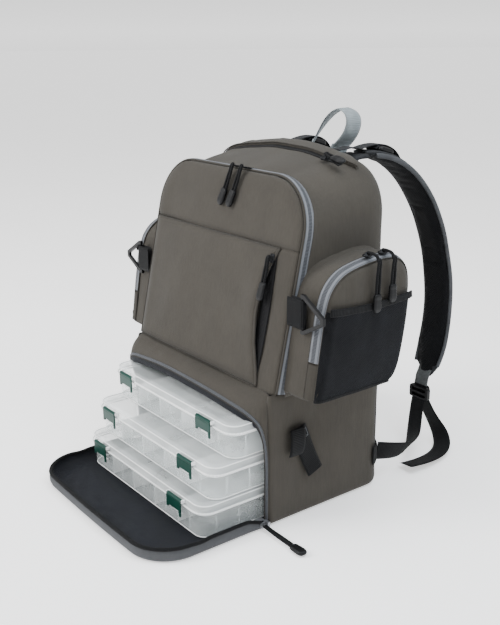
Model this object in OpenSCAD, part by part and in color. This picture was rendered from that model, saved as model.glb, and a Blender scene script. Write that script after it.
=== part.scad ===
/* [Bag] */
// Width of the bag body
bag_w = 300; // [296:1:330]
// Depth of the bag body, front to back
bag_d = 190; // [190:1:220]
// Height of the lower compartment, up to the seam
lower_h = 167; // [165:1:180]
// Height of the top of the bag above the floor
bag_h = 431; // [425:1:450]
// Angle at which the front leans back above the seam
front_lean = 12.4; // [10:0.1:14]
// Thickness of the padded fabric walls
wall = 3; // [2.5:0.1:3.5]

/* [Front] */
// Length of the front panel, measured up its slope
front_len = 248; // [240:1:252]
// Radius of the front panel's two upper corners
front_r = 62; // [50:1:70]
// How far the flat pocket stands out from the front panel
pocket_gap = 7; // [6:0.5:8]

/* [Side pockets] */
// How far a side pocket stands out from the bag
pocket_out = 51; // [45:1:60]
// Length of a side pocket, front to back
pocket_len = 130; // [118:1:132]
// Height of the top of a side pocket above the floor
pocket_top = 324; // [315:1:330]

/* [Flap] */
// How far the open flap reaches in front of the bag
flap_len = 160; // [155:1:175]
// Height of the flap's raised rim
rim_h = 18; // [14:1:20]
// Distance from the bag to the line where the flap folds up
fold_at = 97; // [96:1:100]

/* [Utility boxes] */
// Width of a utility box's lid
tray_w = 276; // [270:1:280]
// Depth of a utility box's lid
tray_d = 182; // [176:1:183]
// Height of a utility box
tray_h = 43.6; // [42:0.1:43.8]
// How far the bottom, middle and top boxes are pulled out
tray_out = [90, 74, 46];

/* [Straps] */
// Width of a shoulder pad
pad_w = 52; // [45:1:58]
// Thickness of a shoulder pad
pad_t = 10; // [8:1:12]
// Width of the adjusting webbing
web_w = 24; // [20:1:26]

/* [Hidden] */

$fn = 48;
eps = 0.01;
taupe = "#69645c";
black = "#1c1f24";
silver = "#9aa0a8";
milky = "#d2dadc";
green = "#1f6656";

front_y = -bag_d / 2;
back_y = bag_d / 2;
half_w = bag_w / 2;
panel_y = front_y + 5;
panel_half = half_w - 1;
panel_t = 12;
pocket_sheet = 2;
mouth_half = half_w - 7;
mouth_top = 142;
hood_out = 17;
board_t = 1.6;
tray_z0 = 5;
tray_pitch = tray_h + 0.4;
lip_t = 4;
tray_wall = 1.8;
lid_h = 10.6;
latch_x = [-96, 85];
latch_w = 30;
slide_gap = 0.1;
skin_gap = 0.02;
side_face = half_w + 2;
pocket_face = side_face + pocket_out;
mesh_gap = 4.6;
pocket_y = 1.5;
slider_x = [12, 30];
slash_x = 111;
side_slider_y = [12, 36];
flap_t = 4.2;
ring_x = half_w + 24;
ring_y = -66;
ring_z = 268;
ring_bar = 2;
shoulder = [62, 118, 417];
strap_splay = 26;
web_t = 1.6;
pocket_r = 24;
pocket_lean = 9.5;
cord_d = 2.4;
pull_eye_d = 5.4;
pull_pin_d = 2;
grip_w = 10;
grip_len = 22;
grip_t = 4.5;
front_pull_len = 52;
front_pull_sway = 18;
mouth_pull_len = 72;
crown_fall = 24;
crown_run = 83;
yoke = [60, 26, 18];
yoke_z = 394;
lifter_w = 20;
buckle_w = 30;
buckle_d = 26;
buckle_t = 4;
buckle_at = shoulder + [3.2, 36.3, 1.6];
buckle_tilt = -16.6;
handle_at = [0, back_y + 22, bag_h - 5];
handle_feet = [[-22, 0, 0], [32, 0, 0]];
handle_t = 2;

// ---- helpers -------------------------------------------------------

// plate with four round corners, centred on x and y
module round_plate(w, d, h, r) {
    linear_extrude(h) union() {
        square([w - 2 * r, d], center = true);
        square([w, d - 2 * r], center = true);
        for (sx = [-1, 1], sy = [-1, 1])
            translate([sx * (w / 2 - r), sy * (d / 2 - r)]) circle(r);
    }
}

// upright outline with two round upper corners, standing on the x axis
module arch(half, h, r) {
    union() {
        translate([-half, 0]) square([2 * half, h - r]);
        translate([-half + r, 0]) square([2 * (half - r), h]);
        for (s = [-1, 1]) translate([s * (half - r), h - r]) circle(r);
    }
}

// turns a shape drawn on the floor plane into one that faces the front
module facing_front(y0, t) {
    translate([0, y0 + t, 0]) rotate([90, 0, 0]) linear_extrude(t) children();
}

// the frame of the leaning front panel: x across, y into the bag, z up the slope
module on_front() {
    translate([0, panel_y, lower_h]) rotate([-front_lean, 0, 0]) children();
}

module mirrored_pair() {
    children();
    mirror([1, 0, 0]) children();
}

function unit(v) = v / norm(v);
function bezier(a, b, c, d, n) = [for (i = [0:n]) let (t = i / n, u = 1 - t)
    u * u * u * a + 3 * u * u * t * b + 3 * u * t * t * c + t * t * t * d];
function blend(a, b, t) = a * (1 - t) + b * t;

// flat band swept along points, its width turning from side_a to side_b
module ribbon(path, side_a, side_b, w, t) {
    n = len(path);
    corners = [for (i = [0:n - 1]) let (
            along = unit(path[min(i + 1, n - 1)] - path[max(i - 1, 0)]),
            raw = blend(side_a, side_b, i / (n - 1)),
            across = unit(raw - (raw * along) * along),
            up = cross(along, across))
        for (k = [[1, 1], [-1, 1], [-1, -1], [1, -1]])
            path[i] + k[0] * across * w / 2 + k[1] * up * t / 2];
    sides = [for (i = [0:n - 2], k = [0:3]) let (
            a = 4 * i + k, b = 4 * i + (k + 1) % 4, c = b + 4, d = a + 4)
        for (f = [[a, c, b], [a, d, c]]) f];
    last = 4 * (n - 1);
    caps = [[0, 1, 2], [0, 2, 3], [last, last + 2, last + 1], [last, last + 3, last + 2]];
    polyhedron(points = corners, faces = concat(sides, caps), convexity = 6);
}

// ---- bag body ------------------------------------------------------

module lower_outline(inset) {
    w = bag_w - 2 * inset;
    d = bag_d - 2 * inset;
    r = 25 - inset;
    union() {
        translate([-w / 2, -d / 2]) square([w, d - r]);
        translate([-w / 2 + r, -d / 2]) square([w - 2 * r, d]);
        for (s = [-1, 1]) translate([s * (w / 2 - r), d / 2 - r]) circle(r);
    }
}

module mouth_hood() {
    // fabric above the mouth, pushed forward by the boxes
    translate([-mouth_half + 3, 0, 0]) rotate([90, 0, 90]) linear_extrude(2 * mouth_half - 6)
        polygon([[front_y, lower_h - 1], [front_y - hood_out, mouth_top + 9],
                 [front_y - hood_out, mouth_top], [front_y, mouth_top]]);
}

module lower_shell() {
    color(taupe) union() {
        difference() {
            linear_extrude(lower_h) lower_outline(0);
            translate([0, 0, wall]) linear_extrude(lower_h) lower_outline(wall);
            translate([-mouth_half, front_y - 1, wall])
                cube([2 * mouth_half, wall + 2, mouth_top - wall]);
        }
        mouth_hood();
    }
}

module stiffener_boards() {
    // a board under the boxes and a sheet against the bag's back
    color(black) {
        translate([0, 0, wall]) round_plate(bag_w - 60, bag_d - 20, board_t, 12);
        facing_front(back_y - wall - board_t, board_t)
            translate([-115, 175]) square([230, 205]);
    }
}

module divider_pad() {
    color(black) translate([0, 0, mouth_top + 3])
        linear_extrude(6) lower_outline(wall + 0.2);
}

function body_profile(t) = [
    [panel_y + panel_t + 2 + t, lower_h - 1], [-23 + t * 1.4, bag_h - 24 - t],
    [60, bag_h - t], [back_y - 9, bag_h - 3 - t],
    [back_y - t, bag_h - 13 - t], [back_y - t, lower_h - 1]];

// the upper body's form, drawn in by an inset, or out where it is negative
module body_form(inset) {
    intersection() {
        facing_front(front_y, bag_d + 10) arch(side_face - inset, bag_h - inset, 58 - inset);
        translate([-half_w - 10, 0, 0]) rotate([90, 0, 90]) linear_extrude(bag_w + 20)
            polygon(body_profile(inset));
        translate([-half_w - 10, front_y - 20, lower_h]) cube([bag_w + 20, bag_d + 60, bag_h]);
    }
}

module upper_shell() {
    color(taupe) difference() {
        body_form(0);
        translate([0, 0, -eps]) body_form(wall);
    }
}

module front_panel() {
    color(taupe) on_front() intersection() {
        facing_front(0, panel_t) arch(panel_half, front_len, front_r);
        translate([-half_w, -50, 3]) cube([bag_w, 100, front_len]);
    }
}

module slash_pocket() {
    // flat pocket on the front panel, open along its right edge
    left = -panel_half + 4;
    wide = 104 - left;
    tall = 164;
    color(taupe) on_front() difference() {
        translate([left, -pocket_gap - pocket_sheet, 5])
            cube([wide, pocket_gap + pocket_sheet, tall]);
        translate([left + 4, -pocket_gap, 9]) cube([wide, pocket_gap + 1, tall - 8]);
    }
}

module front_zip() {
    // wide tape round the front panel's edge
    color(silver) difference() {
        on_front() intersection() {
            difference() {
                facing_front(2, 15) arch(panel_half + 3, front_len + 1.2, front_r + 1);
                facing_front(1, 20) arch(panel_half + skin_gap, front_len + skin_gap, front_r);
            }
            translate([-half_w - 10, -50, 4]) cube([bag_w + 20, 100, front_len + 20]);
        }
        body_form(-skin_gap);
    }
}

module black_zips() {
    // the coil beside the slash pocket and the one in front of the storm flap
    color(black) {
        on_front() translate([slash_x - 5, -1.4, 8]) cube([10, 1.4, 162]);
        intersection() {
            difference() {
                body_form(-1);
                body_form(0);
            }
            translate([-100, 32, lower_h + 200]) cube([200, 12, 100]);
        }
    }
}

module storm_flap() {
    color(taupe) intersection() {
        difference() {
            body_form(-2.5);
            body_form(-skin_gap);
        }
        translate([-112, 45, lower_h + 200]) cube([224, 25, 100]);
    }
}

// ---- side pockets --------------------------------------------------

// side view of a pocket, leaning back like the front
module pocket_outline(inset) {
    l = pocket_len / 2 - inset;
    low = lower_h + 3 + inset;
    high = pocket_top - inset;
    r = pocket_r - inset;
    lean = pocket_lean;
    union() {
        polygon([[pocket_y - l - lean, low], [pocket_y + l - lean, low],
                 [pocket_y + l + lean, high - r], [pocket_y - l + lean, high - r]]);
        translate([pocket_y - l + lean + r, high - r - 1]) square([2 * (l - r), r + 1]);
        for (s = [-1, 1]) translate([pocket_y + lean + s * (l - r), high - r]) circle(r);
    }
}

module along_x(x0, t) {
    translate([x0, 0, 0]) rotate([90, 0, 90]) linear_extrude(t) children();
}

module side_pocket() {
    color(taupe) difference() {
        along_x(side_face, pocket_out) pocket_outline(0);
        along_x(side_face + wall, pocket_out - 2 * wall) pocket_outline(wall);
    }
}

module side_zip() {
    intersection() {
        difference() {
            along_x(pocket_face - 16, 15) pocket_outline(-1);
            along_x(pocket_face - 17, 17) pocket_outline(0);
        }
        translate([side_face, -100, 214]) cube([pocket_out, 200, 150]);
    }
}

module side_zips() {
    color(silver) mirrored_pair() side_zip();
}

module mesh_pocket() {
    // open-topped mesh pouch on a side pocket's outer face
    color(black) difference() {
        intersection() {
            along_x(pocket_face, mesh_gap + 1.4) pocket_outline(1);
            translate([pocket_face - 1, -100, 0]) cube([20, 200, 274]);
        }
        intersection() {
            along_x(pocket_face - 1, mesh_gap + 1) pocket_outline(5);
            translate([pocket_face - 2, -100, 0]) cube([20, 200, 290]);
        }
    }
}

module back_pad() {
    // padded panel against the wearer's back, and the yoke that carries the handle
    color(black) union() {
        facing_front(back_y, 15) translate([0, 208]) union() {
            square([206, 390], center = true);
            square([226, 370], center = true);
            for (sx = [-1, 1], sz = [-1, 1]) translate([sx * 103, sz * 185]) circle(10);
        }
        translate([-yoke[0] / 2, back_y, yoke_z]) cube(yoke);
    }
}

// ---- mouth of the lower compartment and its flap -------------------

module mouth_zip() {
    color(silver) {
        for (s = [-1, 1]) translate([s * (mouth_half + 3) - 2.5, front_y - 1.5, 6])
            cube([5, 1.5, mouth_top - 12]);
        translate([-mouth_half + 3, front_y - hood_out - 1.5, mouth_top])
            cube([2 * mouth_half - 6, 1.5, 8]);
    }
}

module mouth_lining() {
    color(black) difference() {
        translate([-mouth_half, front_y + wall, wall])
            cube([2 * mouth_half, 45, mouth_top - 0.4 - wall]);
        translate([-mouth_half + 2, front_y, wall - 1])
            cube([2 * mouth_half - 4, 60, mouth_top - wall - 0.6]);
    }
}

module flap_outline(inset) {
    // plan of the whole flap, round at its two outer corners
    half = half_w - 1 - inset;
    long = flap_len - inset;
    r = 50 - inset;
    translate([0, front_y]) union() {
        translate([-half, -long + r]) square([2 * half, long - r]);
        translate([-half + r, -long]) square([2 * (half - r), long]);
        for (s = [-1, 1]) translate([s * (half - r), -long + r]) circle(r);
    }
}

module flap_sheet(y_near, y_far, rim_near) {
    // the flap between two lines, with its rim beyond rim_near
    intersection() {
        union() {
            linear_extrude(flap_t) flap_outline(0);
            difference() {
                linear_extrude(rim_h) flap_outline(0);
                translate([0, 0, -1]) linear_extrude(rim_h + 2) flap_outline(4);
                translate([-half_w, rim_near, -1]) cube([bag_w, flap_len, rim_h + 2]);
            }
        }
        translate([-half_w, y_far, -1]) cube([bag_w, y_near - y_far, rim_h + 2]);
    }
}

module flap_apron() {
    color(black) flap_sheet(front_y, front_y - fold_at, front_y - 15);
}

module flap_fold() {
    color(black) flap_sheet(front_y - fold_at - 0.4, front_y - flap_len - 1,
                            front_y - fold_at - rim_h + 1);
}

module mouth_slider() {
    color(silver) union() {
        translate([half_w - 12, front_y - 13, flap_t + 0.2]) cube([12, 9, 6]);
        translate([half_w - 4, front_y - 5.5, flap_t + 0.2]) cube([8.5, 3.5, 6]);
        translate([half_w + 3, front_y - 4, flap_t + 1.3]) rotate([90, 0, 0]) cylinder(h = 9, d = 2);
    }
}

// a cord pull hanging down -z from an eye on the x axis, leaning to -x by sway
module pull(long, sway = 0) {
    union() {
        rotate([0, 90, 0]) difference() {
            translate([0, 0, -2.5]) cylinder(h = 5, d = pull_eye_d);
            translate([0, 0, -3]) cylinder(h = 6, d = pull_pin_d + 2 * slide_gap);
        }
        translate([0, 0, -3]) rotate([0, sway, 0]) {
            for (s = [-1, 1]) translate([s * 1.3, 0, -long + grip_len + 1])
                cylinder(h = long - grip_len, d = cord_d);
            translate([0, 2, -long + 14]) rotate([90, 0, 0])
                round_plate(grip_w, grip_len, 4, grip_t);
        }
    }
}

module mouth_pull() {
    color(black) translate([half_w + 3, front_y - 9, flap_t + 1.3])
        rotate([0, -90, 0]) rotate([0, 0, 90]) pull(mouth_pull_len);
}

// ---- utility boxes -------------------------------------------------

module in_tray(i) {
    translate([0, front_y - tray_out[i - 1] + tray_d / 2, tray_z0 + (i - 1) * tray_pitch])
        children();
}

module tray_base(i) {
    w = tray_w - 2 * lip_t;
    d = tray_d - 2 * lip_t;
    h = tray_h - lid_h;
    color(milky, 0.6) in_tray(i) union() {
        difference() {
            round_plate(w, d, h, 16);
            translate([0, 0, tray_wall])
                round_plate(w - 2 * tray_wall, d - 2 * tray_wall, h, 16 - tray_wall);
        }
        // rim under the lid
        difference() {
            translate([0, 0, h - 2.4]) round_plate(w + 5, d + 5, 2.4, 18);
            translate([0, 0, h - 3]) round_plate(w - eps, d - eps, 4, 16);
        }
    }
}

module tray_lid(i) {
    h = tray_h - lid_h;
    color(milky, 0.6) in_tray(i) {
        difference() {
            union() {
                translate([0, 0, h]) round_plate(tray_w, tray_d, 2.2, 19);
                translate([0, 0, h]) round_plate(tray_w - 5, tray_d - 5, lid_h, 17);
            }
            translate([0, 0, h - 1])
                round_plate(tray_w - 5 - 2 * tray_wall, tray_d - 5 - 2 * tray_wall,
                            lid_h + 1 - tray_wall, 15);
        }
        // pins that carry the latches
        for (x = latch_x) translate([x, -tray_d / 2 - 1.5, tray_h - 4.4]) {
            rotate([0, 90, 0]) cylinder(h = latch_w + 4, d = 2.4, center = true);
            for (s = [-1, 1]) translate([s * (latch_w / 2 + 1.5) - 1, -1.2, -1.5])
                cube([2, 5.7, 3.4]);
        }
    }
}

module tray_dividers(i) {
    inner_w = tray_w - 2 * lip_t - 2 * tray_wall - 1;
    inner_d = tray_d - 2 * lip_t - 2 * tray_wall - 1;
    color(milky, 0.5) in_tray(i) translate([0, 0, tray_wall]) {
        for (x = [-0.3, -0.1, 0.1, 0.3]) translate([x * inner_w, -inner_d / 2, 0])
            cube([1.4, inner_d, 28]);
        translate([0.1 * inner_w + 1.8, 0, 0]) cube([0.2 * inner_w - 2.4, 1.4, 28]);
    }
}

module latch(i, x) {
    color(green) in_tray(i) translate([x, -tray_d / 2 - 1.5, tray_h - 4.4]) union() {
        rotate([0, 90, 0]) difference() {
            cylinder(h = latch_w, d = 4.8, center = true);
            cylinder(h = latch_w + 1, d = 2.4 + 2 * slide_gap, center = true);
        }
        translate([-latch_w / 2, -2.4, -16]) difference() {
            cube([latch_w, 1.8, 14.6]);
            translate([4, -1, -1]) cube([latch_w - 8, 4, 4]);
        }
        translate([latch_w / 2 - 3.4, -2.4, -20]) cube([3.4, 1.8, 5]);
    }
}

// ---- sliders and pulls ---------------------------------------------

pull_eye = [0, -4.6, front_len + 3.4];

module front_slider(x) {
    color(silver) on_front() translate([x, 0, 0]) union() {
        translate([-5, 6, front_len + 1.4]) cube([10, 9, 3]);
        for (s = [-1, 1]) translate([s * 4 - 1, pull_eye[1] - 1, front_len + 2.4])
            cube([2, 13, 2]);
        translate(pull_eye) rotate([0, 90, 0]) cylinder(h = 10, d = 2, center = true);
    }
}

module front_pull(x) {
    // hangs clear in front of the panel, parallel to its slope
    color(black) on_front() translate(pull_eye) translate([x, 0, 0])
        pull(front_pull_len, front_pull_sway);
}

module slash_slider() {
    color(black) on_front() translate([slash_x, 0, 148]) {
        translate([-3.5, -4.4, 0]) cube([7, 2.8, 12]);
        translate([0, -6.4, 6]) rotate([0, 90, 0]) cylinder(h = 4, d = 5, center = true);
        translate([0, -6.4, -50]) cylinder(h = 56, d = cord_d);
        translate([0, -4.4, -39]) rotate([90, 0, 0]) round_plate(8, 22, 4, 3.5);
    }
}

module top_slider() {
    slope = atan2(crown_fall, crown_run);
    rise = (38 + 23) * crown_fall / crown_run;
    color(black) translate([90, 38, bag_h - crown_fall + rise]) rotate([slope, 0, 0]) {
        translate([-6, -3.5, 1.4]) cube([12, 7, 3]);
        translate([7.3, 0, 3]) rotate([0, 90, 0]) cylinder(h = 20, d = cord_d);
        translate([27, 0, 1.8]) round_plate(20, 9, 4, 4);
    }
}

module side_slider(y, reach) {
    x = pocket_face - 8;
    color(black) translate([0, y, pocket_top]) union() {
        translate([x - 4, -6, 1.2]) cube([8, 12, 3]);
        translate([x, -1.2, 3.2]) cube([17, 2.4, 2.4]);
        translate([x + 15.8, 0, -reach + 20]) cylinder(h = reach - 16, d = cord_d);
        translate([x + 14.8, 0, -reach + 11]) rotate([90, 0, 90]) round_plate(9, 22, 4, 4);
    }
}

// ---- webbing and hardware ------------------------------------------

module ring_tabs() {
    color(black) mirrored_pair() translate([0, ring_y, ring_z]) union() {
        difference() {
            union() {
                translate([side_face, -2, -17]) cube([ring_x - side_face, 4, 34]);
                translate([ring_x, 0, -17]) cylinder(h = 34, d = 8);
            }
            translate([ring_x, 0, -18]) cylinder(h = 36, d = 2 * (ring_bar + slide_gap));
        }
    }
}

module ring() {
    // triangular ring standing out from its webbing tab
    color(black) translate([ring_x, ring_y, ring_z]) union() {
        translate([0, 0, -22]) cylinder(h = 44, r = ring_bar);
        translate([0, 2, 0]) rotate([90, 0, 0]) linear_extrude(4) difference() {
            polygon([[-2, 23], [3, 23], [36, 3], [36, -5], [3, -23], [-2, -23]]);
            polygon([[-3, 18.5], [2, 18.5], [31, 0.5], [31, -3], [2, -18.5], [-3, -18.5]]);
        }
    }
}

module rod_straps() {
    // hook-and-loop straps that hold a rod or landing net against the side
    color(black) mirrored_pair() translate([half_w, -52, 118]) rotate([22, 0, 0])
        translate([0, -12, -66]) union() {
            cube([2.6, 24, 66]);
            translate([2.6, 0, 42]) cube([2.4, 24, 24]);
        }
}

// route of a shoulder pad, from the bag's shoulder down to its lower tip
pad_path = bezier(shoulder, shoulder + [10, 122, 8], [shoulder[0] + strap_splay, 300, 215],
                  [shoulder[0] + strap_splay, 232, 98], 14);
lock_at = pad_path[14] + [1, -4, -24];
anchor_at = [half_w - 8, back_y - 4, 43];
web_path = bezier(lock_at + [0, -2, -10], lock_at + [3, -20, -78], [168, 150, 34], anchor_at, 12);
tail_path = bezier(lock_at + [0, 6, -10], lock_at + [14, 22, -66], [160, 250, 0],
                   [150, 140, 10], 14);

module strap_pad() {
    color(black) ribbon(pad_path, [1, 0, 0], [1, 0, 0], pad_w, pad_t);
}

module strap_web() {
    color(black) {
        ribbon([pad_path[14] + [0, 1, -2], lock_at + [0, 0, 10]], [1, 0, 0], [1, 0, 0],
               web_w, web_t);
        ribbon(web_path, [1, 0, 0], [0, 0.25, 1], web_w, web_t);
        ribbon(tail_path, [1, 0, 0], [1, 0.2, 0.1], web_w, web_t);
    }
}

module ladder_lock() {
    color(black) translate(lock_at) difference() {
        translate([0, 3, -9]) rotate([90, 0, 0]) translate([0, 9, 0]) round_plate(34, 18, 6, 3);
        for (z = [-4, 4]) translate([0, 0, z]) cube([web_w + 1, 10, 4.6], center = true);
    }
}

lifter_path = bezier(shoulder + [0, -2, 8.5], shoulder + [1, 22, 15], shoulder + [4, 54, 17],
                     shoulder + [5, 66, -12], 8);

module lifter() {
    // load-lifter webbing and its buckle, lying on the top of the pad
    color(black) {
        ribbon(lifter_path, [1, 0, 0], [1, 0, 0], lifter_w, web_t);
        translate(buckle_at) rotate([buckle_tilt, 0, 0])
            round_plate(buckle_w, buckle_d, 6, buckle_t);
    }
}

module grab_handle() {
    // loop of webbing leaning a little to the right
    color(silver) translate(handle_at) ribbon(
        concat(bezier(handle_feet[0], [-2, 0, 24], [12, 0, 44], [36, 0, 48], 8),
               bezier([40, 0, 47.5], [62, 0, 43], [62, 0, 22], handle_feet[1], 8)),
        [0, 1, 0], [0, 1, 0], web_w, handle_t);
}

lower_shell();
stiffener_boards();
divider_pad();
upper_shell();
front_panel();
slash_pocket();
front_zip();
black_zips();
storm_flap();
side_pocket();  // side_pocket_right
mirror([1, 0, 0]) side_pocket();  // side_pocket_left
side_zips();
mesh_pocket();  // mesh_right
mirror([1, 0, 0]) mesh_pocket();  // mesh_left
back_pad();
mouth_zip();
mouth_lining();
ring_tabs();
rod_straps();
mouth_slider();
flap_apron();
flap_fold();
for (i = [1:3]) {
    tray_base(i);
    tray_lid(i);
    tray_dividers(i);
    latch(i, latch_x[0]);
    latch(i, latch_x[1]);
}
front_slider(slider_x[0]);  // front_slider_left
front_slider(slider_x[1]);  // front_slider_right
front_pull(slider_x[0]);  // front_pull_left
front_pull(slider_x[1]);  // front_pull_right
slash_slider();
top_slider();
side_slider(side_slider_y[0], 62);  // side_slider_right_front
side_slider(side_slider_y[1], 54);  // side_slider_right_rear
mirror([1, 0, 0]) side_slider(side_slider_y[0], 62);  // side_slider_left_front
mirror([1, 0, 0]) side_slider(side_slider_y[1], 54);  // side_slider_left_rear
mouth_pull();
grab_handle();
ring();  // ring_right
mirror([1, 0, 0]) ring();  // ring_left
strap_pad();  // strap_pad_right
strap_web();  // strap_web_right
ladder_lock();  // ladder_lock_right
lifter();  // lifter_right
mirror([1, 0, 0]) strap_pad();  // strap_pad_left
mirror([1, 0, 0]) strap_web();  // strap_web_left
mirror([1, 0, 0]) ladder_lock();  // ladder_lock_left
mirror([1, 0, 0]) lifter();  // lifter_left
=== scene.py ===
"""Looks of a fishing tackle backpack with three clear utility boxes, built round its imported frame."""
import math

import bmesh
import bpy
import numpy as np
from mathutils import Matrix, Vector, noise


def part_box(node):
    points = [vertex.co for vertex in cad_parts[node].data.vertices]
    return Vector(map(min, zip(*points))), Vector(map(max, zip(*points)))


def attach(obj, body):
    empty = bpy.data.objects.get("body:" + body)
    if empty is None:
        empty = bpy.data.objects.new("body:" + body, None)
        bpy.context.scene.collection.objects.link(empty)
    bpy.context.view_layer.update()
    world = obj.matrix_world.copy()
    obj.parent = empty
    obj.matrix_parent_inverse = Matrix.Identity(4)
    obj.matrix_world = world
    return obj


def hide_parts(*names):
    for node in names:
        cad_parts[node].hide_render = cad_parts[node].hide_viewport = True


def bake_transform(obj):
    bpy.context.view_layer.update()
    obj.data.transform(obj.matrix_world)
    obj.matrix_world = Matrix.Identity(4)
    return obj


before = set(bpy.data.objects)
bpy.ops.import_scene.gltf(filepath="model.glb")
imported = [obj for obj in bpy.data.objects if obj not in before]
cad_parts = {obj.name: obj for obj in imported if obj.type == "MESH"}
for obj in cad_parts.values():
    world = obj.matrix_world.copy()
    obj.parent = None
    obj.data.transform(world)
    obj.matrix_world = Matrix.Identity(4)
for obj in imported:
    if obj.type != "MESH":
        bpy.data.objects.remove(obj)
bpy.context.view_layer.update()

# ---- sizes from the frame, in metres --------------------------------------------------

HALF, BACK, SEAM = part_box("lower_shell")[1]
FRONT = -BACK
LEAN = math.radians(12.4)
PANEL_Y = FRONT + 0.005
PANEL_LEN = 0.248
PANEL_HALF = HALF - 0.001
PANEL_R = 0.062
POCKET_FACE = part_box("side_pocket_right")[1].x
FLAP_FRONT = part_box("flap_fold")[0].y
MOUTH = HALF - 0.008
X, Y, Z = np.eye(3)


# ---- lines ----------------------------------------------------------------------------

def mm(*points):
    """Sizes or points given in millimetres."""
    return np.array(points, float) / 1000


def fade(x, start, span):
    """0 before start, 1 from start + span on; a negative span runs the other way."""
    return np.clip((x - start) / span, 0, 1)


def unit(vectors):
    return vectors / np.linalg.norm(vectors, axis=-1, keepdims=True)


def headings(path):
    return unit(np.gradient(np.asarray(path, float), axis=0))


def square_to(tangent, vectors):
    """The vectors' parts at right angles to a path, made unit length."""
    return unit(vectors - tangent * (vectors * tangent).sum(1, keepdims=True))


def lengths(points):
    """Running length along a line of points."""
    steps = np.linalg.norm(np.diff(points, axis=0), axis=1)
    return np.concatenate([[0], np.cumsum(steps)])


def level(plan, height):
    """A plan's points in space, at one height or at a height for each."""
    return np.column_stack([plan, np.full(len(plan), height)])


def resample(points, count):
    """Evenly spaced points along a line."""
    points = np.asarray(points, float)
    along = lengths(points)
    at = np.linspace(0, along[-1], count)
    return np.stack([np.interp(at, along, column) for column in points.T], -1)


def through(points, per, closed=False):
    """A smooth line through points, with the same number of steps between each pair."""
    points = np.asarray(points, float)
    if closed:
        ends = points[np.arange(-1, len(points) + 2) % len(points)]
    else:
        ends = np.vstack([2 * points[0] - points[1], points, 2 * points[-1] - points[-2]])
    t = np.linspace(0, 1, per, endpoint=False)[:, None]
    spans = [0.5 * (2 * b + (c - a) * t + (2 * a - 5 * b + 4 * c - d) * t * t
                    + (3 * b - a - 3 * c + d) * t ** 3)
             for a, b, c, d in zip(ends, ends[1:], ends[2:], ends[3:])]
    return np.vstack([*spans, ends[-2:-1]])


def smooth_line(points, count):
    """A smooth line through a few hand-set points, evenly spaced."""
    return resample(through(points, 16), count)


def bezier(a, b, c, d, count):
    t = np.linspace(0, 1, count)[:, None]
    return (1 - t) ** 3 * a + 3 * (1 - t) ** 2 * t * b + 3 * (1 - t) * t * t * c + t ** 3 * d


def arc(centre, radius, start, end, count=8):
    angle = np.radians(np.linspace(start, end, count))
    return [(centre[0] + radius * math.cos(a), centre[1] + radius * math.sin(a)) for a in angle]


def even_rect(half_x, half_y, radius, count=160):
    """Evenly spaced points round a rectangle with round corners, anticlockwise from the right."""
    corners = []
    for k, (sx, sy) in enumerate([(1, 1), (-1, 1), (-1, -1), (1, -1)]):
        centre = (sx * (half_x - radius), sy * (half_y - radius))
        corners += arc(centre, radius, k * 90, k * 90 + 90, 12)
    return resample(corners + corners[:1], count + 1)[:-1]


def rect_loops(sections, count, origin, axes=(X, Y, Z), taper=0.0):
    """Round rectangles (half width, half height, radius, level) standing in a frame of axes."""
    loops = []
    for half_x, half_y, radius, height in sections:
        ring = even_rect(half_x, half_y, radius, count)
        ring[:, 1] *= 1 + taper * ring[:, 0]
        loops.append(origin + level(ring, height) @ np.array(axes))
    return loops


def strip_profile(width, thick, count=9):
    """Closed profile of a flat strip with soft edges."""
    x = np.linspace(-1, 1, count)
    edge = np.clip((1 - np.abs(x)) * 6, 0, 1) ** 0.5
    upper = np.stack([x * width / 2, thick / 2 * edge], -1)
    return np.vstack([upper, (upper * (1, -1))[::-1][1:-1]])


def oval(across, out, sides=10):
    """Closed profile of an ellipse from its half sizes."""
    angle = np.linspace(0, 2 * math.pi, sides, endpoint=False)
    return np.stack([np.cos(angle) * across, np.sin(angle) * out], -1)


# ---- mesh helpers ---------------------------------------------------------------------

def add_object(name, data):
    """An object of its own in the scene."""
    obj = bpy.data.objects.new(name, data)
    bpy.context.scene.collection.objects.link(obj)
    return obj


def add_mesh(name, verts, faces, look, uvs=None, body="bag", stands_for="", smooth=True):
    """One mesh object: uvs holds a pair for each vertex, look is a material and a slot name that
    is not used, and stands_for names the CAD nodes that the piece replaces."""
    material, slot = look
    mesh = bpy.data.meshes.new(name)
    mesh.from_pydata([tuple(v) for v in np.asarray(verts, float)], [], [tuple(f) for f in faces])
    mesh.update()
    if uvs is not None:
        layer = mesh.uv_layers.new(name="UVMap")
        index = np.zeros(len(mesh.loops), np.int32)
        mesh.loops.foreach_get("vertex_index", index)
        layer.data.foreach_set("uv", np.asarray(uvs, np.float32)[index].ravel())
    if smooth:
        mesh.polygons.foreach_set("use_smooth", [True] * len(mesh.polygons))
    mesh.materials.append(material)
    obj = add_object(name, mesh)
    if body:
        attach(obj, body)
    if stands_for:
        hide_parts(*stands_for.split())
    return obj


def grid_faces(rows, cols, wrap=False, flip=False, caps=(False, False)):
    """Quads between rows of points; wrap joins each row's ends, caps close first and last row."""
    faces = []
    for i in range(rows - 1):
        for j in range(cols if wrap else cols - 1):
            a, b = i * cols + j, i * cols + (j + 1) % cols
            quad = (a, b, b + cols, a + cols)
            faces.append(quad[::-1] if flip else quad)
    if caps[0]:
        faces.append(tuple(range(cols))[::-1])
    if caps[1]:
        faces.append(tuple(range((rows - 1) * cols, rows * cols)))
    return faces


def pair_uvs(u, v):
    """UVs of a grid of points from those of its first row and column."""
    return np.stack(np.meshgrid(u, v), -1).reshape(-1, 2)


def strip_uvs(along, across):
    """UVs of rows of points: along the strip, and across it from its middle."""
    return np.stack([np.repeat(along, len(across)), np.tile(across, len(along))], -1)


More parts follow.
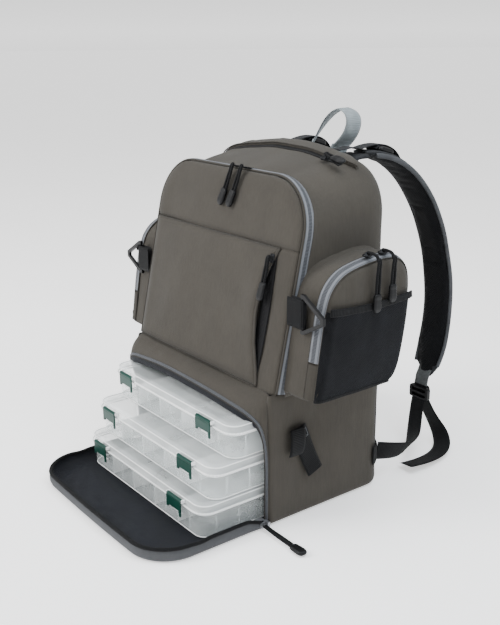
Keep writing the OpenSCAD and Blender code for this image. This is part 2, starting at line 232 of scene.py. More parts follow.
def grid_uvs(grid):
    """UVs in metres, measured along the middle row and column of a grid of points."""
    rows, cols = grid.shape[:2]
    return pair_uvs(lengths(grid[rows // 2]), lengths(grid[:, cols // 2]))


def sheet_mesh(name, grid, look, thick=0.0, flip=False, uvs=None, wrap=False, **more):
    """A grid of points as a sheet, given thickness on its inner side."""
    faces = grid_faces(*grid.shape[:2], wrap, flip)
    uvs = grid_uvs(grid) if uvs is None else uvs
    obj = add_mesh(name, grid.reshape(-1, 3), faces, look, uvs, **more)
    if thick:
        modifier = obj.modifiers.new("thick", "SOLIDIFY")
        modifier.thickness, modifier.offset = thick, -1
    return obj


def frames_along(path, normal):
    """Side and up vectors at each point of a path."""
    tangent = headings(path)
    up = square_to(tangent, np.broadcast_to(np.asarray(normal, float), path.shape))
    return np.cross(tangent, up), up


def skin(name, path, side, up, profile, look, factor=1.0, **more):
    """A closed profile of (across, out) points carried along a path, with end caps."""
    size = np.broadcast_to(factor, len(path))[:, None, None]
    grid = path[:, None] + side[:, None] * (profile[None, :, :1] * size) \
        + up[:, None] * (profile[None, :, 1:] * size)
    rows, cols = grid.shape[:2]
    return add_mesh(name, grid.reshape(-1, 3), grid_faces(rows, cols, True, caps=(True, True)),
                    look, strip_uvs(lengths(path), profile[:, 0]), **more)


def sweep(name, path, normal, profile, look, factor=1.0, **more):
    """A profile along a path, its out side turned to the normal."""
    return skin(name, path, *frames_along(path, normal), profile, look, factor, **more)


def tube(name, path, radius, look, sides=8, **more):
    """A round cord; its profile starts from the axis that the path follows least."""
    flattest = np.argmin(np.abs(np.gradient(path, axis=0)).mean(0))
    return sweep(name, path, np.eye(3)[flattest], oval(radius, radius, sides), look, **more)


def ribbon(name, path, sides, width, thick, look, count=None, **more):
    """Flat webbing along a path; its width turns evenly through the given directions."""
    path = resample(path, count or max(24, len(path) * 4))
    tangent = headings(path)
    t = np.linspace(0, 1, len(path))[:, None]
    first, last = np.asarray(sides[0], float), np.asarray(sides[-1], float)
    turning = (1 - t) * first + t * last if len(sides) < 3 else resample(sides, len(path))
    side = square_to(tangent, turning)
    return skin(name, path, side, np.cross(tangent, side), strip_profile(width, thick), look, **more)


def stack(name, loops, look, caps=(True, True), **more):
    """Closed loops with the same number of points, joined one after another."""
    around = lengths(np.vstack([loops[0], loops[0][:1]]))[:-1]
    faces = grid_faces(len(loops), len(loops[0]), wrap=True, caps=caps)
    uvs = pair_uvs(around, lengths(np.array(loops)[:, 0]))
    return add_mesh(name, np.vstack(loops), faces, look, uvs, **more)


def blocks(name, corners, look, bevel=0.0003, **more):
    """Many small upright blocks, given by their lowest and highest corners, as one piece."""
    verts, faces = [], []
    for lo, hi in corners:
        base = len(verts)
        verts += [(x, y, z) for z in (lo[2], hi[2]) for x, y in
                  ((lo[0], lo[1]), (hi[0], lo[1]), (hi[0], hi[1]), (lo[0], hi[1]))]
        for face in ((3, 2, 1, 0), (4, 5, 6, 7), (0, 1, 5, 4), (1, 2, 6, 5), (2, 3, 7, 6), (3, 0, 4, 7)):
            faces.append(tuple(base + k for k in face))
    obj = add_mesh(name, verts, faces, look, smooth=False, **more)
    modifier = obj.modifiers.new("bevel", "BEVEL")
    modifier.width, modifier.segments = bevel, 2
    return obj


def ripple(point, size, seed):
    """Smooth noise about zero, one bump about every size metres along each axis."""
    sx, sy, sz = size
    return noise.noise(Vector((point[0] / sx + seed, point[1] / sy - seed, point[2] / sz + 2 * seed)))


def crumple(grid, outward, amount, size, seed, strength=1.0):
    """Moves a grid's points along outward by a fold-like noise."""
    fine = tuple(s / 2.3 for s in size)
    push = np.array([ripple(p, size, seed) + 0.5 * ripple(p, fine, seed + 5)
                     for p in grid.reshape(-1, 3)]).reshape(grid.shape[:2])
    return grid + outward * (amount * (push * strength))[..., None]


def grid_normals(grid, flip=False):
    n = np.cross(np.gradient(grid, axis=1), np.gradient(grid, axis=0))
    n /= np.maximum(np.linalg.norm(n, axis=2, keepdims=True), 1e-9)
    return -n if flip else n


def shade_bevel(node, ending, look, width, body=None):
    """A rounded-edge version of a small CAD part, standing for it."""
    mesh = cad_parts[node].data.copy()
    mesh.materials.clear()
    mesh.materials.append(look[0])
    obj = add_object(f"{node}_{ending}", mesh)
    obj.modifiers.new("weld", "WELD").merge_threshold = 1e-5
    flat = obj.modifiers.new("flat", "DECIMATE")
    flat.decimate_type = "DISSOLVE"
    flat.angle_limit = math.radians(3)
    bevel = obj.modifiers.new("bevel", "BEVEL")
    bevel.width = width
    bevel.segments = 2
    bevel.limit_method = "ANGLE"
    bevel.angle_limit = math.radians(35)
    bevel.use_clamp_overlap = True
    mesh.polygons.foreach_set("use_smooth", [True] * len(mesh.polygons))
    obj.modifiers.new("normals", "WEIGHTED_NORMAL")
    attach(obj, body or node)
    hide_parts(node)


def recalc(obj):
    """Turns all faces of a closed piece outwards."""
    work = bmesh.new()
    work.from_mesh(obj.data)
    bmesh.ops.recalc_face_normals(work, faces=work.faces)
    work.to_mesh(obj.data)
    work.free()
    return obj


def apply_modifiers(obj):
    graph = bpy.context.evaluated_depsgraph_get()
    mesh = bpy.data.meshes.new_from_object(obj.evaluated_get(graph))
    obj.modifiers.clear()
    obj.data = mesh


def puff(obj, voxel, pressure, cap, frames=20):
    """Swells a closed piece like a stuffed pad: remeshed, run as cloth under pressure, capped."""
    remesh = obj.modifiers.new("remesh", "REMESH")
    remesh.mode, remesh.voxel_size = "VOXEL", voxel
    apply_modifiers(obj)
    start = np.array([v.co for v in obj.data.vertices])
    cloth = obj.modifiers.new("cloth", "CLOTH")
    cloth.settings.use_pressure = True
    cloth.settings.uniform_pressure_force = pressure
    cloth.settings.effector_weights.gravity = 0
    cloth.settings.quality = 5
    cloth.point_cache.frame_start, cloth.point_cache.frame_end = 1, frames
    for number in range(1, frames + 1):
        bpy.context.scene.frame_set(number)
    swollen = obj.evaluated_get(bpy.context.evaluated_depsgraph_get())
    move = np.array([v.co for v in swollen.to_mesh().vertices]) - start
    swollen.to_mesh_clear()
    move -= move.mean(0)
    move *= np.minimum(1, cap / np.maximum(np.linalg.norm(move, axis=1, keepdims=True), 1e-9))
    obj.modifiers.remove(cloth)
    obj.data.vertices.foreach_set("co", (start + move).astype(np.float32).ravel())
    obj.data.update()
    obj.data.polygons.foreach_set("use_smooth", [True] * len(obj.data.polygons))
    bpy.context.scene.frame_set(1)


def soften(obj):
    """One level of smooth subdivision."""
    smooth = obj.modifiers.new("smooth", "SUBSURF")
    smooth.levels = smooth.render_levels = 1


# ---- materials ------------------------------------------------------------------------

class Nodes:
    """A short way to write the node tree of a material or world."""

    def __init__(self, owner, shader="Principled BSDF"):
        owner.use_nodes = True
        self.owner, self.tree = owner, owner.node_tree
        self.shader = self.tree.nodes[shader]

    def add(self, kind, inputs=None, **settings):
        node = self.tree.nodes.new("ShaderNode" + kind)
        for key, value in settings.items():
            setattr(node, key, value)
        for key, value in (inputs or {}).items():
            self.put(node.inputs[key], value)
        return node

    def put(self, socket, value):
        if isinstance(value, bpy.types.NodeSocket):
            self.tree.links.new(value, socket)
        else:
            socket.default_value = value

    def set(self, **values):
        for key, value in values.items():
            self.put(self.shader.inputs[key.replace("_", " ")], value)

    def math(self, operation, a, b=0.0):
        return self.add("Math", {0: a, 1: b}, operation=operation).outputs[0]

    def mul(self, a, b):
        return self.math("MULTIPLY", a, b)

    def plus(self, a, b):
        return self.math("ADD", a, b)

    def sine(self, value, pitch):
        return self.math("SINE", self.mul(value, 2 * math.pi / pitch))

    def noise(self, scale, detail=4.0, stretch=(1, 1, 1)):
        coords = self.add("TexCoord").outputs["Object"]
        scaled = self.add("Mapping", {"Vector": coords, "Scale": stretch}).outputs[0]
        return self.add("TexNoise", {"Vector": scaled, "Scale": scale, "Detail": detail}).outputs["Fac"]

    def shades(self, fac, colour, *stops):
        """The colour made darker or lighter: two stops of (place, factor)."""
        ramp = self.add("ValToRGB", {"Fac": fac})
        for element, (at, factor) in zip(ramp.color_ramp.elements, stops):
            element.position, element.color = at, (*tone(colour, factor), 1)
        return ramp.outputs["Color"]

    def span(self, fac, low, high):
        return self.add("MapRange", {"Value": fac, "To Min": low, "To Max": high}).outputs[0]

    def waves(self, pitch_u, pitch_v):
        """Threads along and across the UVs as two sines, with the UVs themselves."""
        uv = self.add("SeparateXYZ", {0: self.add("TexCoord").outputs["UV"]}).outputs
        return self.sine(uv[0], pitch_u), self.sine(uv[1], pitch_v), uv

    def bump(self, height, strength, distance):
        self.set(Normal=self.add("Bump", {"Height": height, "Strength": strength,
                                          "Distance": distance}).outputs[0])


def material_nodes(name):
    return Nodes(bpy.data.materials.new(name))


def tone(colour, factor):
    return tuple(min(1.0, c * factor) for c in colour)


def fabric(name, slot, colour, pitch=0.0011, contrast=0.16, sheen=0.05, rough=0.85, relief=0.35):
    """Woven cloth: crossing threads, uneven dye, small creases."""
    n = material_nodes(name)
    u, v, _ = n.waves(pitch, pitch)
    weave = n.mul(u, v)
    cloud = n.noise(22.0, 5.0)
    streak = n.noise(420.0, 3.0, (1, 1, 0.12))
    mixed = n.plus(n.mul(cloud, 0.6), n.mul(streak, 0.4))
    n.set(Base_Color=n.shades(mixed, colour, (0.3, 1 - contrast), (0.7, 1 + contrast)),
          Sheen_Weight=sheen, Sheen_Roughness=0.45, Sheen_Tint=(0.8, 0.9, 1, 1),
          Roughness=n.span(cloud, rough - 0.08, rough + 0.06), Specular_IOR_Level=0.16)
    creases = n.noise(140.0)
    n.bump(n.plus(n.mul(weave, 0.18), creases), relief, 0.0009)
    return n.owner, slot


def webbing(name, slot, colour, rib=0.0021):
    """Ribbed narrow webbing: ribs across, threads along."""
    n = material_nodes(name)
    u, v, _ = n.waves(rib, 0.0012)
    height = n.plus(n.mul(u, 0.7), n.mul(v, 0.4))
    wear = n.noise(60.0, 5.0)
    n.set(Base_Color=n.shades(n.plus(n.mul(height, 0.12), wear), colour, (0.3, 0.75), (0.75, 1.25)),
          Roughness=n.span(wear, 0.62, 0.85), Sheen_Weight=0.02, Sheen_Roughness=0.5,
          Specular_IOR_Level=0.15)
    n.bump(height, 0.5, 0.0005)
    return n.owner, slot


def mesh_cloth(name, slot, colour):
    """Fine stretch mesh: round holes in a close knit."""
    n = material_nodes(name)
    u, v, _ = n.waves(0.0022, 0.0022)
    holes = n.mul(u, v)
    cloud = n.noise(30.0)
    n.set(Base_Color=n.shades(n.plus(n.mul(holes, 0.3), cloud), colour, (0.25, 0.55), (0.9, 1.7)),
          Roughness=0.7, Sheen_Weight=0.02, Sheen_Roughness=0.4, Sheen_Tint=(0.7, 0.8, 1, 1),
          Specular_IOR_Level=0.12)
    n.bump(n.plus(holes, n.mul(cloud, 1.5)), 0.6, 0.0008)
    return n.owner, slot


def object_weave(name, slot, colour, pitch, rough=0.8, relief=0.6, contrast=0.25):
    """Knitted cloth whose pattern comes from place, for pads that lose their UVs."""
    n = material_nodes(name)
    place = n.add("SeparateXYZ", {0: n.add("TexCoord").outputs["Object"]}).outputs
    u = n.sine(n.plus(place[0], place[1]), pitch)
    v = n.sine(n.math("SUBTRACT", place[2], place[1]), pitch)
    knit = n.mul(u, v)
    cloud = n.noise(35.0, 5.0)
    n.set(Base_Color=n.shades(n.plus(n.mul(knit, 0.22), cloud), colour,
                              (0.25, 1 - contrast), (0.8, 1 + contrast)),
          Roughness=n.span(cloud, rough - 0.1, rough + 0.1), Sheen_Weight=0.02, Sheen_Roughness=0.4,
          Specular_IOR_Level=0.12)
    n.bump(n.plus(knit, cloud), relief, 0.0007)
    return n.owner, slot


def zip_tape(name, slot, tape, coil, half_coil=0.0026):
    """Zip tape seen from its UVs: woven tape each side, interlocked coil in the middle."""
    n = material_nodes(name)
    u, _, uv = n.waves(0.0016, 0.001)
    across = n.math("ABSOLUTE", uv[1])
    centre = n.math("LESS_THAN", across, half_coil)
    from_stitch = n.math("ABSOLUTE", n.math("SUBTRACT", across, half_coil * 2.1))
    stitch = n.math("LESS_THAN", from_stitch, 0.0004)
    cloud = n.noise(45.0)
    woven = n.shades(cloud, tape, (0.3, 0.86), (0.7, 1.12))
    teeth = n.shades(n.span(u, 0.0, 1.0), coil, (0.2, 0.6), (0.8, 1.3))
    two = n.add("Mix", {0: centre, 6: woven, 7: teeth}, data_type="RGBA").outputs[2]
    three = n.add("Mix", {0: stitch, 6: two, 7: (*tone(tape, 0.55), 1)}, data_type="RGBA").outputs[2]
    n.set(Base_Color=three, Roughness=n.span(centre, 0.65, 0.45), Sheen_Weight=0.02,
          Specular_IOR_Level=0.15)
    n.bump(n.plus(n.mul(n.mul(u, centre), 0.8), n.mul(stitch, -0.6)), 0.6, 0.0008)
    return n.owner, slot


def plastic(name, slot, colour, rough=0.4, relief=0.12, coat=0.0):
    """Moulded plastic: faint flow marks, fine grain, scuffs."""
    n = material_nodes(name)
    flow = n.noise(38.0, 5.0, (1, 1, 0.5))
    grain = n.noise(900.0, 2.0)
    n.set(Base_Color=n.shades(flow, colour, (0.3, 0.88), (0.72, 1.12)),
          Roughness=n.span(flow, rough - 0.08, rough + 0.12), Specular_IOR_Level=0.2, Coat_Weight=coat)
    n.bump(n.plus(n.mul(grain, 0.5), flow), relief, 0.0004)
    return n.owner, slot


def metal(name, slot, colour, rough=0.35):
    n = material_nodes(name)
    wear = n.noise(300.0, 5.0)
    n.set(Base_Color=n.shades(wear, colour, (0.35, 0.8), (0.7, 1.15)), Metallic=0.85,
          Roughness=n.span(wear, rough - 0.1, rough + 0.15))
    n.bump(wear, 0.1, 0.0003)
    return n.owner, slot


def clear_plastic(name, slot, colour, alpha, rough=0.22):
    """Milky polypropylene: thin walls that let the shapes behind show softly."""
    n = material_nodes(name)
    haze = n.noise(26.0, 5.0)
    scuff = n.noise(500.0, 3.0, (1, 0.2, 1))
    n.set(Base_Color=n.shades(haze, colour, (0.3, 0.92), (0.7, 1.06)),
          Roughness=n.span(haze, rough, rough + 0.15), Alpha=n.span(haze, alpha - 0.05, alpha + 0.06),
          Specular_IOR_Level=0.55, IOR=1.49)
    n.bump(n.plus(haze, n.mul(scuff, 0.04)), 0.05, 0.0006)
    return n.owner, slot


TAUPE = (0.043, 0.0385, 0.0320)
taupe = fabric("taupe_weave", "taupe_fabric", TAUPE)
taupe_dark = fabric("taupe_binding", "taupe_fabric", tone(TAUPE, 0.8), 0.0016, relief=0.5)
lining = fabric("black_lining", "black_fabric", (0.0062, 0.0070, 0.0100), contrast=0.25, sheen=0.02,
                rough=0.6, relief=0.5)
black_cloth = fabric("black_air_mesh", "black_fabric", (0.004, 0.0042, 0.005), 0.003, 0.3, 0.02, 0.8, 0.8)
grey_cloth = fabric("grey_strap_cover", "black_webbing", (0.12, 0.125, 0.135), contrast=0.12)
mesh_black = mesh_cloth("pocket_mesh", "black_mesh", (0.0022, 0.0025, 0.0036))
silver_zip = zip_tape("silver_zip_tape", "silver_tape", (0.135, 0.143, 0.158), (0.075, 0.080, 0.090))
black_zip = zip_tape("black_zip_tape", "black_zip", (0.0028, 0.0030, 0.0036), (0.005, 0.005, 0.006))
piping = fabric("grey_piping", "silver_tape", (0.058, 0.060, 0.064), 0.0015)
black_web = webbing("black_webbing", "black_webbing", (0.0024, 0.0026, 0.0032))
grey_piping = webbing("grey_binding", "black_fabric", (0.050, 0.052, 0.056), 0.0016)
lifter_grey = webbing("lifter_webbing", "black_webbing", (0.018, 0.019, 0.021))
strap_grey_web = webbing("strap_grey_webbing", "black_webbing", (0.075, 0.080, 0.080))
black_air = object_weave("black_spacer_mesh", "black_fabric", (0.0034, 0.0036, 0.0044), 0.0034)
grey_cover = object_weave("grey_strap_cover_weave", "black_fabric", (0.022, 0.0232, 0.0255), 0.0014,
                          0.75, 0.4, 0.12)
grey_web = webbing("pale_grey_webbing", "grey_webbing", (0.215, 0.245, 0.258))
black_plastic = plastic("black_acetal", "black_plastic", (0.003, 0.0032, 0.0038), 0.36)
grip_rubber = plastic("grip_rubber", "black_pull", (0.0034, 0.0036, 0.0042), 0.45, 0.3)
green_plastic = plastic("green_latch", "green_latch", (0.0015, 0.034, 0.024), 0.33, coat=0.1)
zinc = metal("satin_zinc", "slider_metal", (0.36, 0.37, 0.39))
black_metal = metal("black_zinc", "slider_metal", (0.014, 0.0145, 0.016), 0.4)
milky = clear_plastic("milky_wall", "clear_tray", (0.86, 0.92, 0.92), 0.25)
milky_lid = clear_plastic("milky_lid", "clear_tray", (0.90, 0.95, 0.95), 0.36)
milky_edge = clear_plastic("milky_edge", "clear_tray", (0.95, 0.98, 0.98), 0.72, 0.18)
# the same materials where they stand for another slot
coil_taupe = (taupe_dark[0], "silver_tape")
hem_web, binding_web, cord_web = (
    (black_web[0], slot) for slot in ("black_mesh", "black_fabric", "black_pull"))


# ---- camera, light and floor ----------------------------------------------------------

def aim(obj, direction, roll=0.0):
    """Turns a camera or lamp to look along a direction."""
    obj.rotation_mode = "QUATERNION"
    turn = Vector(direction).to_track_quat("-Z", "Y")
    obj.rotation_quaternion = turn @ Matrix.Rotation(roll, 3, "Z").to_quaternion() if roll else turn


camera = add_object("camera", bpy.data.cameras.new("camera"))
bpy.context.scene.camera = camera
view_azimuth, view_elevation, view_roll = (math.radians(a) for a in (52.9, 17.2, -0.5))
towards = Vector((math.sin(view_azimuth) * math.cos(view_elevation),
                  -math.cos(view_azimuth) * math.cos(view_elevation), math.sin(view_elevation)))
camera.location = (0.9081, -0.6947, 0.5695)
aim(camera, -towards, view_roll)
camera.data.lens = 52.4
camera.data.clip_start, camera.data.clip_end = 0.05, 30


def area_light(name, place, target, size, watts, colour=(1, 1, 1)):
    lamp = bpy.data.lights.new(name, "AREA")
    lamp.size, lamp.energy, lamp.color = size, watts, colour
    obj = add_object(name, lamp)
    obj.location = place
    aim(obj, Vector(target) - Vector(place))


middle = (0, 0, 0.2)
area_light("key", (-0.9, -1.9, 1.6), middle, 1.1, 62)
area_light("top", (0.1, -0.1, 2.2), middle, 1.6, 34)
area_light("side", (0.62, 0.15, 0.98), (0.1, 0, 0.38), 0.5, 6, (0.80, 0.90, 1))

# a white world, brighter near the horizon
world = bpy.data.worlds.new("studio")
sky = Nodes(world, "Background")
height = sky.add("SeparateXYZ", {0: sky.add("TexCoord").outputs["Generated"]}).outputs["Z"]
from_horizon = sky.add("Math", {0: height}, operation="ABSOLUTE").outputs[0]
glow = sky.add("MapRange", {"Value": from_horizon, "From Max": 0.10, "To Min": 1.62, "To Max": 0.92})
sky.set(Color=(1, 1, 1, 1), Strength=glow.outputs["Result"])
bpy.context.scene.world = world

floor_paint = material_nodes("pale_floor")
floor_paint.set(Base_Color=floor_paint.shades(floor_paint.noise(3.0), (1, 1, 1), (0.3, 0.9), (0.7, 0.93)),
                Roughness=0.7, Emission_Color=(1, 1, 1, 1), Emission_Strength=0.7)
FAR = 90
add_mesh("floor", [(-FAR, -FAR, 0), (FAR, -FAR, 0), (FAR, FAR, 0), (-FAR, FAR, 0)],
                  [(0, 1, 2, 3)], (floor_paint.owner, None), body=None, smooth=False)


# ---- lower compartment ----------------------------------------------------------------

CORNER, BACK_R = 0.005, 0.025
wall_plan = resample(
    [(HALF - CORNER, FRONT)] + arc((HALF - CORNER, FRONT + CORNER), CORNER, -90, 0, 6)
    + arc((HALF - BACK_R, BACK - BACK_R), BACK_R, 0, 90, 12)
    + arc((-HALF + BACK_R, BACK - BACK_R), BACK_R, 90, 180, 12)
    + arc((-HALF + CORNER, FRONT + CORNER), CORNER, 180, 270, 6), 261)
wall_inward = headings(wall_plan)[:, ::-1] * (-1, 1)

HEM = 0.009
LOWEST = 0.0013
wall_rows = []
for z in [*(HEM * (1 - np.cos(np.linspace(0.15, math.pi / 2, 7)))),
          *np.linspace(HEM + 0.006, SEAM - 0.006, 34), SEAM - 0.002, SEAM + 0.001]:
    hem = HEM - math.sqrt(max(0.0, HEM ** 2 - (HEM - min(z, HEM)) ** 2))
    tuck = 0.0025 * fade(z, SEAM - 0.006, 0.006)
    wall_rows.append(level(wall_plan + wall_inward * (hem + tuck), max(z, LOWEST)))
wall = np.array(wall_rows)
wall_out = grid_normals(wall)
loose = fade(wall[..., 1], FRONT + 0.004, 0.03) * (1 - 0.85 * fade(wall[..., 1], BACK - 0.02, 0.015))
rise = fade(wall[..., 2], 0, 0.03) * fade(wall[..., 2], SEAM, -0.02)
wall = crumple(wall, wall_out, 0.0022, (0.05, 0.05, 0.11), 3.0, rise * loose)
wall -= wall_out * (0.003 * np.sin(np.pi * fade(wall[..., 2], 0, SEAM)) * loose)[..., None]
sheet_mesh("lower_wall", wall, taupe, 0.0012, stands_for="lower_shell")

base = wall[0][::4]
add_mesh("base_panel", base, [tuple(range(len(base)))[::-1]], black_cloth, base[:, :2],
         stands_for="stiffener_boards")
sill_x = np.linspace(-0.1435, 0.1435, 12)
sheet_mesh("mouth_sill", np.array([[(x, y, 0.0022) for x in sill_x] for y in (-0.0955, -0.088, -0.078)]),
           lining)

# the edge of the mouth, flared over the boxes, from the lower left round to the lower right
mouth_edge = through(mm(
    (-146, -95.5, 6), (-146.2, -95.5, 45), (-146.5, -96.5, 85), (-146.8, -100, 114), (-144, -107, 135),
    (-130, -111, 146.2), (-95, -112.5, 151.5), (-50, -113, 154.8), (0, -113, 154.8), (50, -112.5, 153),
    (95, -111.5, 149.6), (127, -109.5, 145), (144, -104, 133.5), (147.8, -98.5, 110), (147.6, -96, 82),
    (147, -95.5, 45), (146.2, -95.5, 6)), 10)
# where the hood over it starts from the front wall
frame_edge = through(mm(
    (-145, -95, 6), (-145, -95, 45), (-145, -95, 85), (-145.5, -95, 118), (-146, -94.5, 150),
    (-142, -88.5, 167.5), (-98, -88.5, 168.5), (-50, -88.5, 168.5), (0, -88.5, 168.5), (50, -88.5, 168.5),
    (98, -88.5, 168.5), (140, -88.5, 167.5), (146, -94.5, 150), (145.5, -95, 118), (145, -95, 85),
    (145, -95, 45), (145, -95, 6)), 10)
bend = 0.5 * (mouth_edge + frame_edge)
bend[:, 1] = np.minimum(mouth_edge[:, 1], frame_edge[:, 1]) + 0.004
bend[:, 2] = 0.55 * frame_edge[:, 2] + 0.45 * mouth_edge[:, 2] + 0.004 * (mouth_edge[:, 1] < -0.105)
t = np.linspace(0, 1, 15)[:, None, None]
hood = (1 - t) ** 2 * frame_edge + 2 * t * (1 - t) * bend + t * t * mouth_edge
hood = crumple(hood, grid_normals(hood), 0.0012, (0.04, 0.05, 0.05), 9.0, np.sin(np.pi * t[..., 0]))
sheet_mesh("mouth_hood", hood, taupe, 0.001)

mouth_side = frames_along(mouth_edge, (0, -1, 0.2))[0]
middle_out = ((np.array([0, -0.1, 0.07]) - mouth_edge) * mouth_side).sum(1, keepdims=True)
inward = mouth_side * np.sign(middle_out)
sweep("mouth_zip_tape", mouth_edge - 0.0012 * Y, (0, -1, 0.35), strip_profile(0.0040, 0.0016), silver_zip,
      stands_for="mouth_zip")
tube("mouth_zip_coil", mouth_edge + inward * 0.0024 - 0.0016 * Y, 0.0008, coil_taupe)

deep = mouth_edge + inward * (0.0064 + 0.0058 * fade(mouth_edge[:, 2], 0.11, 0.03))[:, None]
liner = [mouth_edge + (deep - mouth_edge) * k + y * Y for k, y in
         ((0.15, -0.0006), (0.40, -0.0014), (0.65, -0.0016), (0.85, -0.0008), (0.97, 0.0010))]
for y in (-0.09, -0.05, 0.0, 0.05, 0.0855):
    across = np.clip(deep[:, 0] * 1.02, -MOUTH - 0.002, MOUTH + 0.002)
    liner.append(np.column_stack([across, np.maximum(y, deep[:, 1]), np.minimum(deep[:, 2], 0.1435)]))
liner_hub = np.array([0, 0.0858, 0.07])
liner.append(liner_hub + (mouth_edge - liner_hub) * (0.2, 0, 0.2))
sheet_mesh("mouth_liner", np.array(liner), lining, stands_for="mouth_lining")

pad_lo, pad_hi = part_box("divider_pad")
divider = stack("divider_padding", rect_loops(
    [(HALF - 0.005 - draw, 0.088 - draw, 0.02, z) for z, draw in
     ((pad_lo.z, 0.006), (pad_lo.z + 0.0015, 0.001), (pad_hi.z - 0.0015, 0.001), (pad_hi.z, 0.006))],
    160, 0.001 * Y), lining, stands_for="divider_pad")


# ---- upper body -----------------------------------------------------------------------

def on_panel(x, depth, s):
    """Points of the leaning front: across, into the bag, up the slope."""
    x, depth, s = np.broadcast_arrays(*(np.asarray(a, float) for a in (x, depth, s)))
    return np.stack([x, PANEL_Y + depth * math.cos(LEAN) + s * math.sin(LEAN),
                     SEAM + s * math.cos(LEAN) - depth * math.sin(LEAN)], -1)


panel_front = on_panel(0, -1, 0) - on_panel(0, 0, 0)
panel_up = on_panel(0, 0, 1) - on_panel(0, 0, 0)


def arch_line(half, height, corner_x, corner_z, crown, count):
    """An arch from its right foot over the crowned top to its left foot, as (x, height)."""
    flat = half - corner_x
    right = [(half, 0.0), (half, height - crown - corner_z)]
    right += [(flat + corner_x * math.cos(a), height - crown - corner_z + corner_z * math.sin(a))
              for a in np.linspace(0, math.pi / 2, 14)[1:]]
    right += [(flat * t, height - crown * t * t) for t in np.linspace(1, 0, 12)[1:]]
    right = np.array(right)
    return resample(np.vstack([right, right[:-1][::-1] * (-1, 1)]), count)


ARCH_COLS = 181
# foot y, foot z, top y, top z, inset of the sides
stations = through(mm(
    (-73.5, 163.4, -19.9, 406.7, 0), (-60, 164, -8, 410.5, -0.5), (-25, 165, 18, 419, 0),
    (15, 165.5, 44, 426.5, 0), (50, 165.5, 65, 431, 0.5), (70, 165.5, 79, 430.5, 4),
    (84, 165.5, 88.5, 425.5, 13), (92.5, 165.5, 94.2, 415, 28), (94.8, 165.5, 95, 395, 50)), 9)
LAST = len(stations) - 1
body_rows = []
for row, station in enumerate(stations):
    foot, top, inset = station[:2], station[2:4], station[4]
    height = np.linalg.norm(top - foot)
    crown = np.interp(row / LAST, [0, 0.12, 0.4], [0.003, 0.005, 0.008])
    outline = arch_line(HALF + 0.002 - inset, height, 0.066, 0.058, crown, ARCH_COLS)
    body_rows.append(np.column_stack([outline[:, 0], foot + outline[:, 1:] * (top - foot) / height]))
middle_back = np.array([0, 0.0952, 0.29])
body_rows += [middle_back + (body_rows[LAST] - middle_back) * factor for factor in (0.6, 0.05)]
body_grid = np.array(body_rows)
body_out = grid_normals(body_grid, flip=True)
row = np.arange(len(body_rows))[:, None]
held = fade(row, 0, 5) * fade(row, LAST + 1, -16) * np.clip((body_grid[..., 2] - SEAM) / 0.02, 0.2, 1)
body_grid = crumple(body_grid, body_out, 0.0020, (0.09, 0.06, 0.07), 21.0, held)
sheet_mesh("upper_body", body_grid, taupe, 0.0012, flip=True, stands_for="upper_shell")


def on_body(depth_at, arc_at, lift=0.0):
    """Points on the upper body from fractions of its depth and of its arch."""
    depth_at, arc_at = np.broadcast_arrays(np.asarray(depth_at, float), np.asarray(arc_at, float))
    r, c = np.clip(depth_at, 0, 1) * LAST, np.clip(arc_at, 0, 1) * (ARCH_COLS - 1)
    r0, c0 = np.minimum(r.astype(int), LAST - 1), np.minimum(c.astype(int), ARCH_COLS - 2)
    fr, fc = (r - r0)[..., None], (c - c0)[..., None]

    def mix(g):
        return ((g[r0, c0] * (1 - fc) + g[r0, c0 + 1] * fc) * (1 - fr)
                + (g[r0 + 1, c0] * (1 - fc) + g[r0 + 1, c0 + 1] * fc) * fr)
    return mix(body_grid) + mix(body_out) * lift


def body_patch(name, arc_at, front_at, back_at, lift, look, **more):
    """A sheet lying on the upper body between two lines of depth, its edges turned down."""
    w = np.linspace(0, 1, 13)[:, None]
    proud = lift * fade(np.minimum(w, 1 - w), 0, 0.08) ** 0.5 + 0.0004
    ends = np.clip(np.minimum(arc_at - arc_at[0], arc_at[-1] - arc_at) / 0.006, 0.1, 1)
    grid = on_body(front_at + (back_at - front_at) * w, arc_at + 0 * w, (proud * ends)[..., None])
    sheet_mesh(name, grid, look, 0.0012, flip=True, **more)


# ---- front panel ----------------------------------------------------------------------

PANEL_SEAM = 0.170


def panel_half_at(at):
    over = np.clip(at - (PANEL_LEN - PANEL_R), 0, PANEL_R)
    return PANEL_HALF - PANEL_R + np.sqrt(PANEL_R ** 2 - over ** 2)


def panel_depth(x, at):
    """How far the front's surface lies inside the panel's plane: full, with edges drawn back."""
    edge = fade(np.minimum(panel_half_at(at) - np.abs(x), PANEL_LEN + 0.0005 - at), 0, 0.018)
    roll = 0.0040 * (1 - np.sqrt(1 - (1 - edge) ** 2))
    full = -0.0022 * fade(at, PANEL_SEAM, -0.03) * fade(np.abs(x), 0.145, -0.06)
    step = -0.0012 * (at > PANEL_SEAM)
    groove = 0.0020 * np.exp(-((at - PANEL_SEAM) / 0.0022) ** 2)
    return 0.0008 + roll + full + step + groove


def on_front(x, s, lift=0.0):
    """Points on the panel's surface, or raised above it."""
    return on_panel(x, panel_depth(x, s) - lift, s)


u, s = np.meshgrid(np.linspace(-1, 1, 71), np.linspace(0.001, PANEL_LEN, 101))
panel_grid = crumple(on_front(u * panel_half_at(s), s), panel_front, 0.0013, (0.07, 0.07, 0.09), 4.0,
                     np.clip((1 - np.abs(u)) * 6, 0, 1))
sheet_mesh("front_face", panel_grid, taupe, 0.001, stands_for="front_panel")
seam_end = panel_half_at(PANEL_SEAM) - 0.001
seam = on_front(np.linspace(-seam_end, seam_end, 60), PANEL_SEAM, 0.0006)
tube("panel_seam", seam, 0.0008, taupe_dark, 6)

